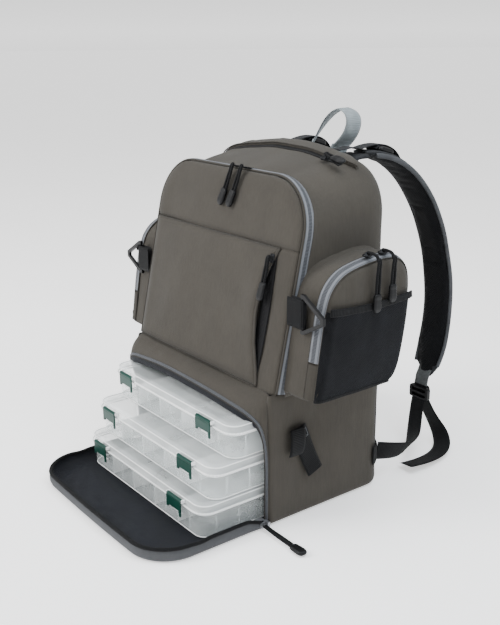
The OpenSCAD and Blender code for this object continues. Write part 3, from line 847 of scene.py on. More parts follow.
# the flat pocket: a sheet sewn at three sides whose right edge gapes
SLASH_TOP, SLASH_LOW, SLASH_LEFT = 0.1685, 0.004, -0.1475
v, w = np.linspace(0, 1, 61)[:, None], np.linspace(0, 1, 61)
slash_edge = np.interp(v, [0, 0.12, 0.30, 0.50, 0.68, 0.86, 1],
                       [0.1185, 0.1155, 0.1075, 0.1030, 0.1035, 0.1100, 0.1185])
sewn = fade(w, 0, 0.05) * fade(v, 0, 0.05) * fade(v, 1, -0.03)
gape = fade(w, 0.72, 0.28) ** 2 * np.abs(np.sin(math.pi * v)) ** 0.8
lift = 0.0008 + 0.0022 * sewn + 0.0052 * gape + 0.0016 * np.sin(np.pi * w) * sewn
lift -= 0.0030 * fade(w, 0.975, 0.025) ** 2 * sewn
pocket = on_front(SLASH_LEFT + w * (slash_edge - SLASH_LEFT), SLASH_LOW + (SLASH_TOP - SLASH_LOW) * v, lift)
pocket = crumple(pocket, panel_front, 0.0015, (0.06, 0.06, 0.08), 14.0, np.sin(np.pi * v) * fade(w, 0, 0.1))
sheet_mesh("flat_pocket", pocket, taupe, 0.0014, stands_for="slash_pocket")
proud = panel_front * 0.0004
sweep("flat_pocket_binding", pocket[:, -1] + proud, panel_front, strip_profile(0.0042, 0.0022), taupe_dark)
tube("flat_pocket_foot_seam", pocket[0] + proud, 0.0007, taupe_dark, 6)
tube("flat_pocket_side_seam", pocket[:, 0] + proud, 0.0007, taupe_dark, 6)

slash_width = np.sin(np.linspace(0.05, math.pi - 0.05, 50)) ** 0.35
sweep("slash_zip", on_front(0.1115, np.linspace(0.006, 0.1675, 50), 0.0009), panel_front,
      strip_profile(0.019, 0.0012), black_zip, slash_width, stands_for="black_zips")

# the wide zip round the front panel
ZIP_MID, ZIP_HALF = 0.0110, 0.0070
zip_arch = arch_line(PANEL_HALF + 0.0012, PANEL_LEN + 0.0012, PANEL_R + 0.001, PANEL_R + 0.001, 0.0, 200)
zip_arch = zip_arch[zip_arch[:, 1] > 0.001]
zip_out = headings(zip_arch)[:, ::-1] * (1, -1)


def beside_panel(depth, proud):
    off = zip_arch + zip_out * proud
    return on_panel(off[:, 0], depth, off[:, 1])


across = np.linspace(-1, 1, 13)
zip_grid = np.stack([beside_panel(ZIP_MID + a * ZIP_HALF, 0.0012 + 0.0016 * (1 - a * a))
                     for a in across], 1)
zip_uvs = strip_uvs(lengths(zip_grid[:, 6]), across * ZIP_HALF)
sheet_mesh("front_zip_band", zip_grid, silver_zip, uvs=zip_uvs, stands_for="front_zip")
tube("front_zip_inner_seam", beside_panel(ZIP_MID - 0.0060, 0.0002), 0.0016, taupe_dark)
tube("front_zip_outer_seam", beside_panel(ZIP_MID + 0.0073, 0.0008), 0.0005, taupe_dark)

# storm flap over the top zip, which shows as a dark line in front of it
arc_t = np.linspace(0.335, 0.700, 90)
narrow = (np.clip((arc_t - arc_t[0]) / 0.035, 0.12, 1) ** 0.7
          * np.clip((arc_t[-1] - arc_t) / 0.03, 0.1, 1) ** 0.6)
zip_t, zip_wide = arc_t[5:], np.maximum(narrow[5:], 0.7)
body_patch("top_zip", zip_t, 0.375 + 0 * zip_t, 0.375 + 0.05 * zip_wide, 0.0008, black_zip)
body_patch("storm_band", arc_t, 0.475 - 0.068 * narrow, 0.475 + 0.075 * narrow, 0.0034, taupe,
           stands_for="storm_flap")
tube("storm_edge", on_body(0.479 - 0.068 * narrow, arc_t, 0.0044), 0.0009, taupe_dark, 6)


# ---- side pockets ---------------------------------------------------------------------

# side view of a pocket (y, z), from the lower front corner over the top to the back
pocket_ring = resample(through(mm(
    (-72.8, 173.5), (-70.6, 190), (-66, 220), (-61.3, 248), (-56.7, 273), (-47.8, 296.5), (-29, 313),
    (1, 321), (33, 324), (57, 320.5), (71.5, 307.5), (76.2, 285), (73.8, 255), (68.8, 220), (62.5, 190),
    (53, 174.5), (34, 170), (-10, 170), (-46, 170), (-68.8, 170.5)), 12, closed=True), 221)[:-1]
ring_inward = unit(np.roll(pocket_ring, -1, 0) - np.roll(pocket_ring, 1, 0))[:, ::-1] * (1, -1)
ring_y, ring_z = pocket_ring.T
POCKET_X0 = HALF + 0.0015
SIDE_ZIP_X, SIDE_ZIP_HALF = 0.1925, 0.0062
# how far the pocket's outline draws in on its way out
draw_x = [POCKET_X0, 0.157, 0.172, 0.187, 0.192, 0.197, 0.2005, 0.2022, 0.2030]
draw_in = [-0.0030, -0.0004, -0.0008, 0.0000, 0.0006, 0.0022, 0.0048, 0.0080, 0.0120]


def pocket_loop(x, extra=0.0):
    ring = pocket_ring + ring_inward * (np.interp(x, draw_x, draw_in) + extra)
    return np.column_stack([np.full(len(ring), x), ring])


def side_pocket(side, sign):
    """One zipped side pocket with its zip, pouch and seams; sign is 1 on the right."""
    hand, facing, flip = (sign, 1, 1), (sign, 0, 0), sign < 0
    loops = [pocket_loop(x) for x in [*np.linspace(POCKET_X0, 0.186, 16),
                                      *np.linspace(0.188, POCKET_FACE, 12)]]
    hub, rim = np.array([POCKET_FACE, 0.0, 0.245]), loops[-1]
    loops += [hub + (rim - hub) * k + 0.0010 * (1 - k * k) * X
              for k in (0.9, 0.78, 0.62, 0.45, 0.28, 0.12, 0.01)]
    grid = np.array(loops)
    out = grid_normals(np.concatenate([grid, grid[:, :1]], 1))[:, :-1]
    x, y, z = np.moveaxis(grid, -1, 0)
    amount = 0.0016 * fade(x, POCKET_X0, 0.015) * np.clip((POCKET_FACE + 0.002 - x) / 0.004, 0.5, 1)
    pleat = 0.0011 * np.sin(y / 0.0042 + 6 * z) * fade(z, 0.278, 0.02) * fade(z, 0.312, -0.02) \
        * fade(x, 0.2015, 0.001)
    push = np.array([ripple(p, (0.05, 0.035, 0.06), 31.0 + sign) for p in grid.reshape(-1, 3)])
    grid = grid + out * (amount * push.reshape(x.shape) + pleat)[..., None]
    around = lengths(np.vstack([grid[8], grid[8][:1]]))[:-1]
    sheet_mesh(f"side_pocket_body_{side}", grid * hand, taupe, flip=flip, wrap=True,
               uvs=pair_uvs(around, lengths(grid[:, 60])), stands_for=f"side_pocket_{side}")

    def band(name, found, proud, look, **more):
        """A strip over the ring's points from the first to the last that was found."""
        across = np.linspace(-1, 1, 9)
        strip = np.stack([pocket_loop(SIDE_ZIP_X + a * SIDE_ZIP_HALF, -proud * (1.0 - 0.35 * a * a))
                          for a in across], 1)[found[0]:found[-1] + 1]
        sheet_mesh(f"{name}_{side}", strip * hand, look, flip=flip,
                   uvs=strip_uvs(lengths(strip[:, 4]), across * SIDE_ZIP_HALF), **more)

    high = np.where(ring_z > 0.214)[0]
    low_front = np.where((ring_z <= 0.2155) & (ring_y < -0.055))[0]
    band("side_zip", high, 0.0019, silver_zip, stands_for="side_zips" if sign > 0 else "")
    band("side_zip_end", low_front[low_front < 60], 0.0015, taupe_dark)
    for tag, x in (("inner", 0.1858), ("outer", 0.1992)):
        line = pocket_loop(x, -0.0010)[: high[-1] + 25] * hand
        tube(f"side_pocket_{tag}_seam_{side}", line, 0.0007, taupe_dark, 6)

    # mesh pouch over the lower part of the outer face
    z = np.linspace(0.1725, 0.2745, 48)[:, None]
    edges = []
    for keep in (ring_y < -0.04, ring_y > 0.04):
        edge = pocket_ring[keep & (ring_z < 0.30)]
        edge = edge[np.argsort(edge[:, 1])]
        edges.append(np.interp(z, edge[:, 1], edge[:, 0]))
    front_at, back_at = edges[0] + 0.0024, edges[1] - 0.0030
    c = np.linspace(-1, 1, 61)
    t = fade(z, z[0], z[-1] - z[0])
    y = (front_at + back_at) / 2 + c * (back_at - front_at) / 2
    x = 0.1996 + (1 - np.abs(c) ** 24) * (0.0058 + 0.0026 * t + 0.0014 * np.sin(math.pi * t))
    x -= 0.0006 * fade(t, 0.06, -0.06) ** 2
    droop = -0.0035 * t * (1 - c * c) * (t > 0.5) * (t - 0.5) * 2
    pouch = crumple(np.stack([x, y, z + droop], -1), X, 0.0008, (0.03, 0.03, 0.05), 50.0 + sign,
                    fade(np.abs(c), 1, -0.2))
    pouch_obj = sheet_mesh(f"mesh_pouch_{side}", pouch * hand, mesh_black, flip=flip,
                           stands_for=f"mesh_{side}")
    brim, ease = pouch[-1].copy(), mm(1.4, 0.9, 0.5, 0.2, 0.1)
    brim[:5, 0] = brim[5, 0] - ease
    brim[-5:, 0] = brim[-6, 0] - ease[::-1]
    hem = sweep(f"mesh_hem_{side}", brim * hand, facing, strip_profile(0.009, 0.0022), hem_web)
    sweep(f"mesh_foot_{side}", pouch[0] * hand, facing, strip_profile(0.004, 0.0016), hem_web)


side_pocket("right", 1)
side_pocket("left", -1)


# ---- open flap ------------------------------------------------------------------------

FLAP_HALF = HALF - 0.001
FLAP_R = 0.050
FOLD = FRONT - 0.0972
flap_corner = np.array([FLAP_HALF - FLAP_R, FLAP_FRONT + FLAP_R])
flap_line = resample([(FLAP_HALF, FRONT)] + arc(flap_corner, FLAP_R, 0, -90, 14)
                     + arc(flap_corner * (-1, 1), FLAP_R, -90, -180, 14) + [(-FLAP_HALF, FRONT)], 301)
flap_line[:, 1] -= 0.003 * fade(flap_line[:, 1], -0.20, -0.05) * (1 - (flap_line[:, 0] / FLAP_HALF) ** 2)
flap_in = headings(flap_line)[:, ::-1] * (1, -1)
flap_in *= np.sign((flap_in * ((0, -0.16) - flap_line)).sum(1, keepdims=True))
at_root = flap_line[:, 1] > FRONT - 0.002
rim_rise = fade(flap_line[:, 1], FRONT, -0.035)
rim_scale = 0.42 + 0.58 * rim_rise * rim_rise * (3 - 2 * rim_rise)
rim_scale *= 1 - 0.08 * np.exp(-((flap_line[:, 1] - FOLD) / 0.010) ** 2)


def flap_ring(inset, z, steady=False):
    """The flap's outline drawn in; its height shrinks towards the root unless it is steady."""
    height = z if steady else 0.0006 + (z - 0.0006) * rim_scale
    return level(flap_line + flap_in * inset, height)


def flap_rings(*rings):
    return [flap_ring(*ring) for ring in mm(*rings)]


def towards_middle(ring, hub, factors):
    """A ring shrunk towards a hub; its ends stay at the flap's root."""
    rows = []
    for k in factors:
        row = hub + (ring - hub) * k
        row[:, 1] = np.where(at_root, ring[:, 1], row[:, 1])
        rows.append(row)
    return rows


def flap_piece(name, grid, look, uvs=None, **more):
    """A sheet of the open flap, baked in place on no body; its UVs are its plan if none are given."""
    uvs = grid[..., :2].reshape(-1, 2) if uvs is None else uvs
    piece = sheet_mesh(name, grid, look, uvs=uvs, body=None, **more)
    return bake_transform(piece)


gusset = np.array(flap_rings((6.0, 0.6), (3.0, 0.8), (0.8, 2.6), (-0.6, 6.0), (-0.8, 9.5), (-0.2, 13.0),
                             (1.0, 16.0)))
flap_piece("flap_gusset", gusset, piping, grid_uvs(gusset))

binding_path, bead = flap_ring(0.0016, 0.0168), oval(0.0027, 0.0022)
binding = binding_path[:, None] + level(flap_in, 0)[:, None] * bead[:, :1] + Z * bead[:, 1:]
bead_angle = np.linspace(0, 2 * math.pi, 10, endpoint=False)
flap_binding = flap_piece("flap_binding", binding, binding_web,
                          strip_uvs(lengths(binding_path), bead_angle * 0.002), wrap=True)

flap_rows = flap_rings((3.0, 16.2), (4.2, 11.8), (6.2, 8.0), (9.5, 5.8)) + [flap_ring(0.0150, 0.0042, True)]
flap_rows += towards_middle(flap_rows[-1], np.array([0, -0.150, 0.0040]),
                            [*np.linspace(0.96, 0.2, 36), 0.1, 0.04, 0.0006])
flap_grid = np.array(flap_rows)
flap_grid[:, 0, 1] = flap_grid[:, -1, 1] = FRONT + 0.001


def flap_wrinkle(p):
    """Height of the lining's creases: small below the boxes, larger in front of them."""
    free = fade(p[1], -0.190, -0.012)
    across, along = p[0] + 0.150, p[1] + 0.175
    crease = math.sin(math.atan2(along, across) * 26)
    crease *= np.clip(1.2 - math.hypot(across, along) / 0.13, 0, 1)
    broad = ripple(p, (0.055, 0.03, 0.05), 77.0)
    fine = ripple(p, (0.02, 0.016, 0.05), 12.0)
    swept = 1 - 0.72 * fade(p[1], -0.232, 0.010) * fade(abs(p[0]), 0.144, -0.008)
    return free * (0.0022 * crease + 0.0026 * broad + 0.0010 * fine + 0.0012) * swept \
        + (1 - free) * 0.0002 * fine


wrinkles = np.array([flap_wrinkle(p) for p in flap_grid.reshape(-1, 3)]).reshape(flap_grid.shape[:2])
flap_grid[..., 2] += fade(flap_grid[..., 2], 0.0075, -0.003) * wrinkles
flap_lining = flap_piece("flap_lining", flap_grid, lining, flip=True, stands_for="flap_apron flap_fold")

under = flap_ring(0.0060, 0.0006, True)
outside = towards_middle(under, np.array([0, -0.150, 0.0006]), [*np.linspace(0.95, 0.02, 22), 0.0006])
flap_piece("flap_outside", np.array([under, *outside]), taupe)


# ---- utility boxes --------------------------------------------------------------------

# half width, half depth, corner radius, height above the floor of the box
BASE = mm((127, 80, 11, 0.6), (131.5, 84.5, 14.5, 0), (133, 86, 15.5, 1.2), (133.6, 86.6, 16, 4),
          (133.8, 86.8, 16, 15), (134, 87, 16, 30.4))
LID = mm((137.9, 90.9, 18.8, 33.2), (138, 91, 19, 34.2), (137.8, 90.8, 18.8, 35.1),
         (135.8, 88.8, 17.2, 35.4), (135.5, 88.5, 17, 40.2), (135, 88, 16.6, 42.2),
         (133.8, 86.8, 15.5, 43.3), (131.5, 84.5, 14, 43.6), (127, 80, 11, 43.6), (126.2, 79.2, 10.5, 42.9))
# half width, half depth, corner radius, height and thickness of each bead round the box
TRIMS = {"flange": mm(137.2, 90.2, 18.4, 34.2, 1.05), "rim": mm(134.9, 87.9, 16.5, 42.4, 0.8),
         "lip": mm(135.2, 88.2, 17, 31.8, 1.1), "foot": mm(133.1, 86.1, 15.6, 1.6, 0.7)}
INNER_W, INNER_D = 0.2634, 0.1694
LID_FRONT = -0.091


def utility_box(i):
    """One clear box: base, lid, rims, dividers, ribs and catches, with its two latches."""
    box = f"tray_{i}"
    lo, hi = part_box(f"{box}_base")
    origin = np.array([0, (lo.y + hi.y) / 2, lo.z])
    stack(f"{box}_shell", rect_loops(BASE, 200, origin), milky, (True, False), body=box,
          stands_for=f"{box}_base")
    stack(f"{box}_top", rect_loops(LID, 200, origin), milky_lid, (False, True), body=box,
          stands_for=f"{box}_lid")
    for tag, (*section, thick) in TRIMS.items():
        loop = rect_loops([section], 220, origin)[0]
        sweep(f"{box}_{tag}", np.vstack([loop, loop[:2]]), Z, oval(thick, thick), milky_edge, body=box)
    walls = [((k * INNER_W, -INNER_D / 2, 0.0018), (k * INNER_W + 0.0013, INNER_D / 2, 0.0298))
             for k in (-0.3, -0.1, 0.1, 0.3)]
    walls.append(((0.1 * INNER_W + 0.0018, 0, 0.0018), (0.3 * INNER_W - 0.0006, 0.0013, 0.0298)))
    blocks(f"{box}_walls", origin + walls, milky_edge, body=box, stands_for=f"{box}_dividers")
    ribs = [((x - 0.0006, y, 0.003), (x + 0.0006, y + 0.0014, 0.0290))
            for x in np.arange(-0.105, 0.11, 0.0264) for y in (-0.0864, 0.0850)]
    ribs += [((x, y - 0.0007, 0.003), (x + 0.0015, y + 0.0007, 0.0290))
             for y in np.arange(-0.066, 0.07, 0.033) for x in (-0.1333, 0.1318)]
    blocks(f"{box}_ribs", origin + ribs, milky, 0.0002, body=box)
    catches = []
    for latch in (f"latch_{i}_left", f"latch_{i}_right"):
        left, right = (corner.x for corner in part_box(latch))
        catches.append(((left + 0.0045, LID_FRONT + 0.0012, 0.0195),
                        (right - 0.0045, LID_FRONT + 0.0030, 0.0215)))
        catches += [((x, LID_FRONT - 0.0026, 0.0372), (x + 0.0020, LID_FRONT + 0.0030, 0.0412))
                    for x in (left - 0.0022, right + 0.0002)]
        shade_bevel(latch, "clip", green_plastic, 0.0005)
    blocks(f"{box}_catches", origin + catches, milky_edge, body=box)


for number in (1, 2, 3):
    utility_box(number)


# ---- webbing, rings and handle --------------------------------------------------------

RING_X, RING_Y, RING_Z = 0.174, -0.066, 0.268
RING_BEND = 0.0036


def ring_tab(side, sign):
    """Webbing folded round the ring and sewn to the bag, with the ring itself."""
    plan = [(HALF + 0.0006, RING_Y - 0.0030), (0.160, RING_Y - 0.0032)] \
        + arc((RING_X, RING_Y), RING_BEND, -90, 90, 14) \
        + [(0.160, RING_Y + 0.0032), (HALF + 0.0020, RING_Y + 0.0030)]
    ribbon(f"ring_tab_{side}", level(resample(plan, 60), RING_Z) * (sign, 1, 1), [Z], 0.034, 0.0014,
           black_web, stands_for="ring_tabs" if sign > 0 else "")
    shade_bevel(f"ring_{side}", "wire", black_plastic, 0.0012)


def rod_strap(side, sign):
    """Hook-and-loop strap: a long tail down the side and a short loop folded over its top."""
    hand, slant, lean = (sign, 1, 1), math.radians(22), math.radians(4)
    top = np.array([HALF, -0.052, 0.118])
    down = np.array([0, math.sin(slant), -math.cos(slant)])
    across = np.array([0, math.cos(slant), math.sin(slant)])
    tail = [top + down * t + x * X for t, x in mm((0, 1.2), (12, 1.6), (30, 1.2), (50, 1.8), (67, 4.4))]
    ribbon(f"rod_strap_tail_{side}", smooth_line(tail, 40) * hand, [across], 0.0235, 0.0020, black_web,
           stands_for="rod_straps" if sign > 0 else "")
    fold = [top + (x, -0.004 - math.sin(lean) * d, -d) for x, d in
            mm((2.6, 0), (5.2, -1.5), (7.2, 6), (7.6, 16), (6.8, 26), (4.6, 32))]
    ribbon(f"rod_strap_fold_{side}", smooth_line(fold, 36) * hand, [(0, 1, 0.05)], 0.0225, 0.0020,
           black_web)
    stitch = [top + down * t + across * o + 0.0028 * X for t, o in
              mm((3, -9), (3, 9), (16, 9), (16, -9), (3, -9), (16, 9))]
    tube(f"rod_strap_stitch_{side}", resample(stitch, 90) * hand, 0.00035, grey_cloth, 5)


# the right strap's routes, from the shoulder down to the bag's lower corner
SHOULDER, PAD_TIP, ANCHOR = mm(62, 118, 417), mm(88, 232, 98), mm(142, 91, 43)
LOCK = PAD_TIP + mm(1, -4, -24)
LOCK_BAR = mm(89, 228, 74)
pad_path = bezier(SHOULDER, SHOULDER + mm(10, 122, 8), mm(88, 300, 215), PAD_TIP, 90)
web_path = bezier(LOCK + mm(0, -2, -8), LOCK + mm(3, -20, -78), mm(168, 150, 34), ANCHOR, 40)
tail_path = bezier(LOCK + mm(0, 6, -8), LOCK + mm(14, 22, -66), mm(160, 250, 0), mm(150, 140, 10), 44)
lift_path = SHOULDER + bezier(*mm((0, -2, 8.5), (1, 22, 15), (4, 54, 17), (5, 66, -12)), 40)
PAD_W, PAD_T = 0.052, 0.010
# half width, half length, corner radius, height
BUCKLE = mm((12.5, 10.5, 3, -3.4), (15, 13, 4.5, -2.4), (15.5, 13.4, 5, 0.4), (14.8, 12.2, 5, 2.6),
            (12.2, 9.4, 4.5, 4.2), (6, 5, 3, 4.6))
BUCKLE_TILT = np.array(Matrix.Rotation(math.radians(-16.6), 3, "X")).T


def shoulder_strap(side, sign):
    """One padded strap with its bindings, webbing, ladder lock and load lifter."""
    strap, hand = f"strap_{side}", (sign, 1, 1)
    path = pad_path * hand
    tangent = headings(path)
    aside = square_to(tangent, np.broadcast_to(X, path.shape))
    outer = np.cross(tangent, aside)
    outer *= np.sign(outer[40, 1])
    circle = oval(1, 1, 28)
    shape = np.sign(circle) * np.abs(circle) ** 0.45
    at = np.linspace(0, 1, len(path))
    width = PAD_W / 2 * np.interp(at, [0, 0.02, 0.12, 0.5, 0.9, 0.97, 1],
                                  [0.6, 0.72, 0.93, 1.0, 0.97, 0.80, 0.45])
    thick = PAD_T / 2 * np.interp(at, [0, 0.05, 0.2, 0.9, 1], [0.55, 0.8, 0.92, 0.9, 0.5])
    loops = [p + s * shape[:, :1] * w + o * shape[:, 1:] * t
             for p, s, o, w, t in zip(path, aside, outer, width, thick)]
    pad = recalc(stack(f"shoulder_pad_{side}", loops, black_air, body=strap,
                       stands_for=f"strap_pad_{side}"))
    cover = grey_cover[0]
    pad.data.materials.append(cover)
    puff(pad, 0.0045, 4.0, 0.005)
    if pad.data.materials.find(cover.name) < 0:
        pad.data.materials.append(cover)

    def measured(points, direction):
        """Each point's nearest place on the path, and how far out along the direction it is."""
        near = np.array([int(np.argmin(((path - p) ** 2).sum(1))) for p in points])
        return near, ((points - path[near]) * direction[near]).sum(1)

    _, height = measured(np.array([f.center for f in pad.data.polygons]), outer)
    pad.data.polygons.foreach_set("material_index", (height > 0.0004).astype(np.int32))
    soften(pad)
    near, off = measured(np.array([v.co for v in pad.data.vertices]), aside)
    inside = slice(int(near.min()) + 3, int(near.max()) - 2)
    for tag, edge in (("inner", -1), ("outer", 1)):
        reach = [np.max((off * edge)[np.abs(near - k) <= 2], initial=0.008) for k in range(len(path))]
        reach = np.convolve(np.pad(reach, 4, mode="edge"), np.ones(9) / 9, "valid") - 0.0004
        line = (path + aside * (reach * edge)[:, None])[inside] + outer[inside] * 0.0006
        sweep(f"strap_binding_{tag}_{side}", line, outer[40], oval(0.0022, 0.0034), grey_piping, body=strap)

    def web(name, line, width, thick, look=black_web, turn=X, body=strap, **more):
        """A ribbon along one of the right strap's lines, mirrored for the left."""
        return ribbon(f"{name}_{side}", line * hand, [X, turn], width, thick, look, body=body, **more)

    def rooted(piece):
        """Bakes a piece that lies between the bag and the strap in place, on no body."""
        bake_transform(piece)

    # webbing down the outside of the pad, and through the ladder lock
    on_pad = (path + outer * (thick + 0.0008)[:, None]) * hand
    web("strap_top_web", on_pad[4:30], 0.024, 0.0014, lifter_grey)
    tip = (path[-7:] + outer[-7:] * 0.0012) * hand
    web("strap_link", np.vstack([tip, LOCK + 0.005 * Z]), 0.024, 0.0016, strap_grey_web)
    main = web("strap_web_main", web_path, 0.024, 0.0016, turn=(0, 0.25 * sign, sign), body=None,
               stands_for=f"strap_web_{side}")
    rooted(main)
    web("strap_web_tail", tail_path, 0.024, 0.0016, turn=(1, 0.2 * sign, 0.1 * sign))
    shade_bevel(f"ladder_lock_{side}", "frame", black_plastic, 0.0012, strap)
    web("lock_fill", LOCK_BAR + np.linspace(mm(0, 1.2, -11.5), mm(0, 1.2, 11.5), 12), 0.0235, 0.0022)
    for k, rise in enumerate((-4.5, 4.5)):
        over = mm((0, 6, rise - 6), (0, 7.8, rise - 2), (0, 7.8, rise + 2), (0, 6, rise + 6))
        web(f"lock_wrap_{k}", smooth_line(LOCK_BAR + over, 16), 0.0235, 0.0016)

    # load lifter over the shoulder: short webbing through a low buckle
    web("lifter_web", lift_path, 0.0205, 0.0015, lifter_grey)
    hub = SHOULDER + mm(3.2, 36.3, 1.6) + 0.0031 * BUCKLE_TILT[2]
    stack(f"lifter_buckle_{side}", rect_loops(BUCKLE, 80, hub * hand, BUCKLE_TILT), black_plastic,
          body=strap, stands_for=f"lifter_{side}")
    over = mm((0, -15, -1), (0, -11, 4.2), (0, -4, 5.8), (0, 4, 5.8)) @ BUCKLE_TILT
    web("lifter_over", smooth_line(hub + over, 20), 0.0200, 0.0014, lifter_grey)

    # the strap's and the lifter's roots, sewn to the bag's back
    for name, line, count, width, thick, look in (
            ("strap_root", [(0, -25.5, -16), (0, -22, -6), (0, -13, -0.5), (0, 3, 0.2)], 40, 0.044, 0.0055,
             grey_cover),
            ("lifter_root", [(0, -36, 10.2), (0, -27, 10.6), (0, -14, 11.5), (0, -1, 8.9)], 30, 0.0204,
             0.0015, lifter_grey)):
        root = web(name, smooth_line(SHOULDER + mm(*line), count), width, thick, look, body=None)
        rooted(root)

    # tab sewn round the bag's corner, where the webbing ends
    corner = arc((HALF - BACK_R, BACK - BACK_R), 0.0262, 12, 88, 24)
    ribbon(f"strap_anchor_{side}", level(corner, 0.043) * hand, [Z], 0.027, 0.0018, black_web)


for tag, sign in (("right", 1), ("left", -1)):
    ring_tab(tag, sign)
    rod_strap(tag, sign)
    shoulder_strap(tag, sign)

# grab handle: one loop of webbing leaning to the right, its left leg turned edge on
handle_path = mm(0, 117, 426) + np.vstack([
    bezier(*mm((-22, 0, 0), (-2, 0, 24), (12, 0, 44), (36, 0, 48)), 24),
    bezier(*mm((40, 0, 47.5), (62, 0, 43), (62, 0, 22), (32, 0, 0)), 24)])
left_leg, right_leg = (-0.75, 0.66, 0), (0.45, 0.9, 0)
ribbon("handle_webbing", handle_path, [left_leg, (-0.35, 0.94, 0), (0, 1, 0), (0.2, 1, 0), right_leg],
       0.0245, 0.0021, grey_web, 96, body="grab_handle", stands_for="grab_handle")
for tag, x, lean, facing in (("left", -22, 1, left_leg), ("right", 32, 1.6, right_leg)):
    foot = mm((x - lean * 6, 109, 403), (x - lean * 5, 113, 411), (x - lean * 2.6, 116.4, 420),
              (x, 117, 427))
    ribbon(f"handle_foot_{tag}", smooth_line(foot, 24), [facing], 0.0243, 0.0022, grey_web)
UPRIGHT = (X, Z, Y)
yoke = [(0.030 - inset, 0.009 - inset * 0.8, 0.0085 - inset * 0.8, y) for inset, y in
        mm((0, 94.5), (0, 108), (1.2, 115), (4, 119.5), (7.5, 120.8))]
recalc(stack("handle_yoke", rect_loops(yoke, 90, 0.403 * Z, UPRIGHT), grey_cover, (False, True)))


# ---- back padding ---------------------------------------------------------------------

def back_cushion(name, x0, x1, z0, z1, **more):
    sections = [((x1 - x0) / 2 - inset, (z1 - z0) / 2 - inset, 0.022 - inset * 0.6, y) for inset, y in
                mm((6, 95.5), (1.5, 98.5), (1, 102), (3.5, 105.5), (9, 107.8), (18, 108.8))]
    centre = np.array([(x0 + x1) / 2, 0, (z0 + z1) / 2])
    cushion = recalc(stack(name, rect_loops(sections, 120, centre, UPRIGHT), black_air, **more))
    puff(cushion, 0.005, 4.0, 0.004)
    soften(cushion)


back_cushion("back_cushion_left", -0.108, -0.016, 0.085, 0.385, stands_for="back_pad")
back_cushion("back_cushion_right", 0.016, 0.108, 0.085, 0.385)
back_cushion("back_cushion_low", -0.108, 0.108, 0.018, 0.078)
plate = mm((113, 195, 20, 94.5), (113, 195, 20, 96.2), (111.5, 193.5, 19, 97))
recalc(stack("back_plate", rect_loops(plate, 120, 0.208 * Z, UPRIGHT), black_air))
binding_loop = rect_loops([mm(112.5, 194.5, 20, 97)], 200, 0.208 * Z, UPRIGHT)[0]
tube("back_binding", np.vstack([binding_loop, binding_loop[:2]]), 0.0022, taupe_dark)


# ---- sliders and pulls ----------------------------------------------------------------

# half width, half thickness, distance along
GRIP = mm((3, 1.6, 0), (4.2, 2, 1.5), (4.6, 2.2, 5.5), (4, 1.8, 6.5), (4.8, 2.3, 7.8), (4.2, 1.9, 9.2),
          (5, 2.4, 10.6), (4.4, 2, 12), (5, 2.3, 13.6), (4.7, 2.1, 17), (3.8, 1.7, 20), (2, 0.9, 21.6))
# half length, half width, height
SLIDER = mm((5.2, 3.6, -0.8), (5.8, 4.3, 0.2), (5.8, 4.2, 1.4), (4.8, 3, 2.2), (4, 1.2, 2.6), (3.4, 1, 3.8),
            (2.2, 0.9, 4.6))


def cord_pull(name, body, eye, down, out, long, size=1.2):
    """A loop of cord from an eye to a moulded grip, hanging along down and facing out."""
    down, out = unit(down), unit(out)
    side = np.cross(down, out)
    reach = long - 0.019
    strand = np.array([(-0.0020, reach, 0), (-0.0022, reach * 0.6, 0.0006), (-0.0017, reach * 0.25, 0.0012),
                       (-0.0015, 0.001, 0.0020), (-0.0008, -0.0022, 0.0012)])
    loop = eye + np.vstack([strand, strand[::-1] * (-1, 1, 1)]) @ np.array([side, down, out])
    tube(f"{name}_cord", smooth_line(loop, 70), 0.0016, cord_web, body=body)
    sections = [(w * size, t * size, t * size * 0.95, at) for w, t, at in GRIP]
    loops = rect_loops(sections, 40, eye + down * (long - 0.0212), (side, out, down))
    recalc(stack(f"{name}_grip", loops, grip_rubber, body=body, stands_for=body))


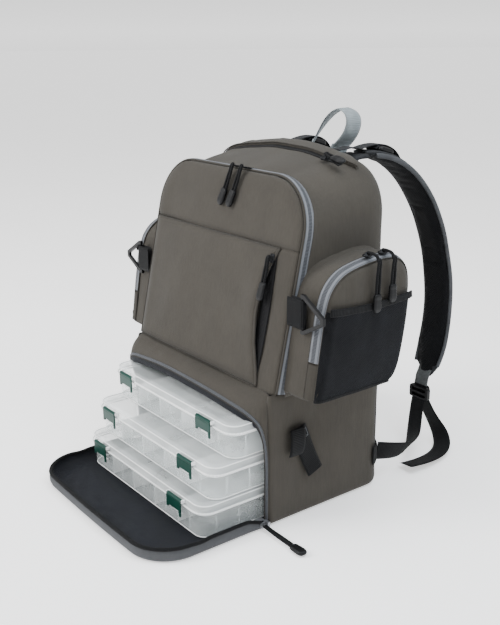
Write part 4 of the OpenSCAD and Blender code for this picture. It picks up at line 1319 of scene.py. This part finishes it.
def slider_body(name, body, place, along, out):
    """A small zip slider: wedge-shaped shell, bridge and pull tab, running along the zip."""
    along, out = unit(along), unit(out)
    sections = [(length, width, width * 0.7, at) for length, width, at in SLIDER]
    loops = rect_loops(sections, 48, place, (along, np.cross(along, out), out), taper=12)
    recalc(stack(name, loops, black_metal, body=body))


PULL_SWAY = math.radians(18)
pull_down = -panel_up * math.cos(PULL_SWAY) - math.sin(PULL_SWAY) * X
for tag, x in (("left", 0.012), ("right", 0.030)):
    shade_bevel(f"front_slider_{tag}", "body", black_metal, 0.0006)
    cord_pull(f"front_pull_{tag}", f"front_pull_{tag}", on_panel(x, -0.0046, PANEL_LEN + 0.0034), pull_down,
              panel_front, 0.052)

slash_zip_at = on_panel(0.111, -0.0020, 0.155)
slider_body("slash_slider_body", "slash_slider", slash_zip_at, panel_up, panel_front)
cord_pull("slash_pull", "slash_slider", slash_zip_at + panel_front * 0.0052, panel_front * 0.09 - panel_up,
          panel_front, 0.050)

for side, sign in (("right", 1), ("left", -1)):
    for tag, y, reach in (("front", 12, 0.059), ("rear", 36, 0.051)):
        node = f"side_slider_{side}_{tag}"
        slider_body(f"{node}_body", node, mm(193.5 * sign, y, 326.8), Y, Z)
        link = mm((193.5, y, 330.6), (201, y, 330.8), (208.6, y, 329), (211.6, y, 323)) * (sign, 1, 1)
        tube(f"{node}_link", smooth_line(link, 24), 0.0018, cord_web, body=node)
        cord_pull(f"{node}_pull", node, mm(211.6 * sign, y, 323.5), -Z, sign * X, reach)

CROWN_RISE, CROWN_RUN = 24, 83
crown_angle = math.atan2(CROWN_RISE, CROWN_RUN)
top_out = np.array([0, -math.sin(crown_angle), math.cos(crown_angle)])
top_at = np.array([0.090, 0.038, 0.407 + 0.061 * CROWN_RISE / CROWN_RUN])
slider_body("top_slider_body", "top_slider", top_at - top_out * 0.0022, X, top_out)
cord_pull("top_pull", "top_slider", top_at + 0.004 * X + top_out * 0.0032, np.array([1, -0.1, -0.14]),
          top_out, 0.034)
shade_bevel("mouth_slider", "body", zinc, 0.0006, "bag")
cord_pull("mouth_pull", "mouth_pull", mm(154, -104, 4.4), X, Z, 0.071, size=1.3)
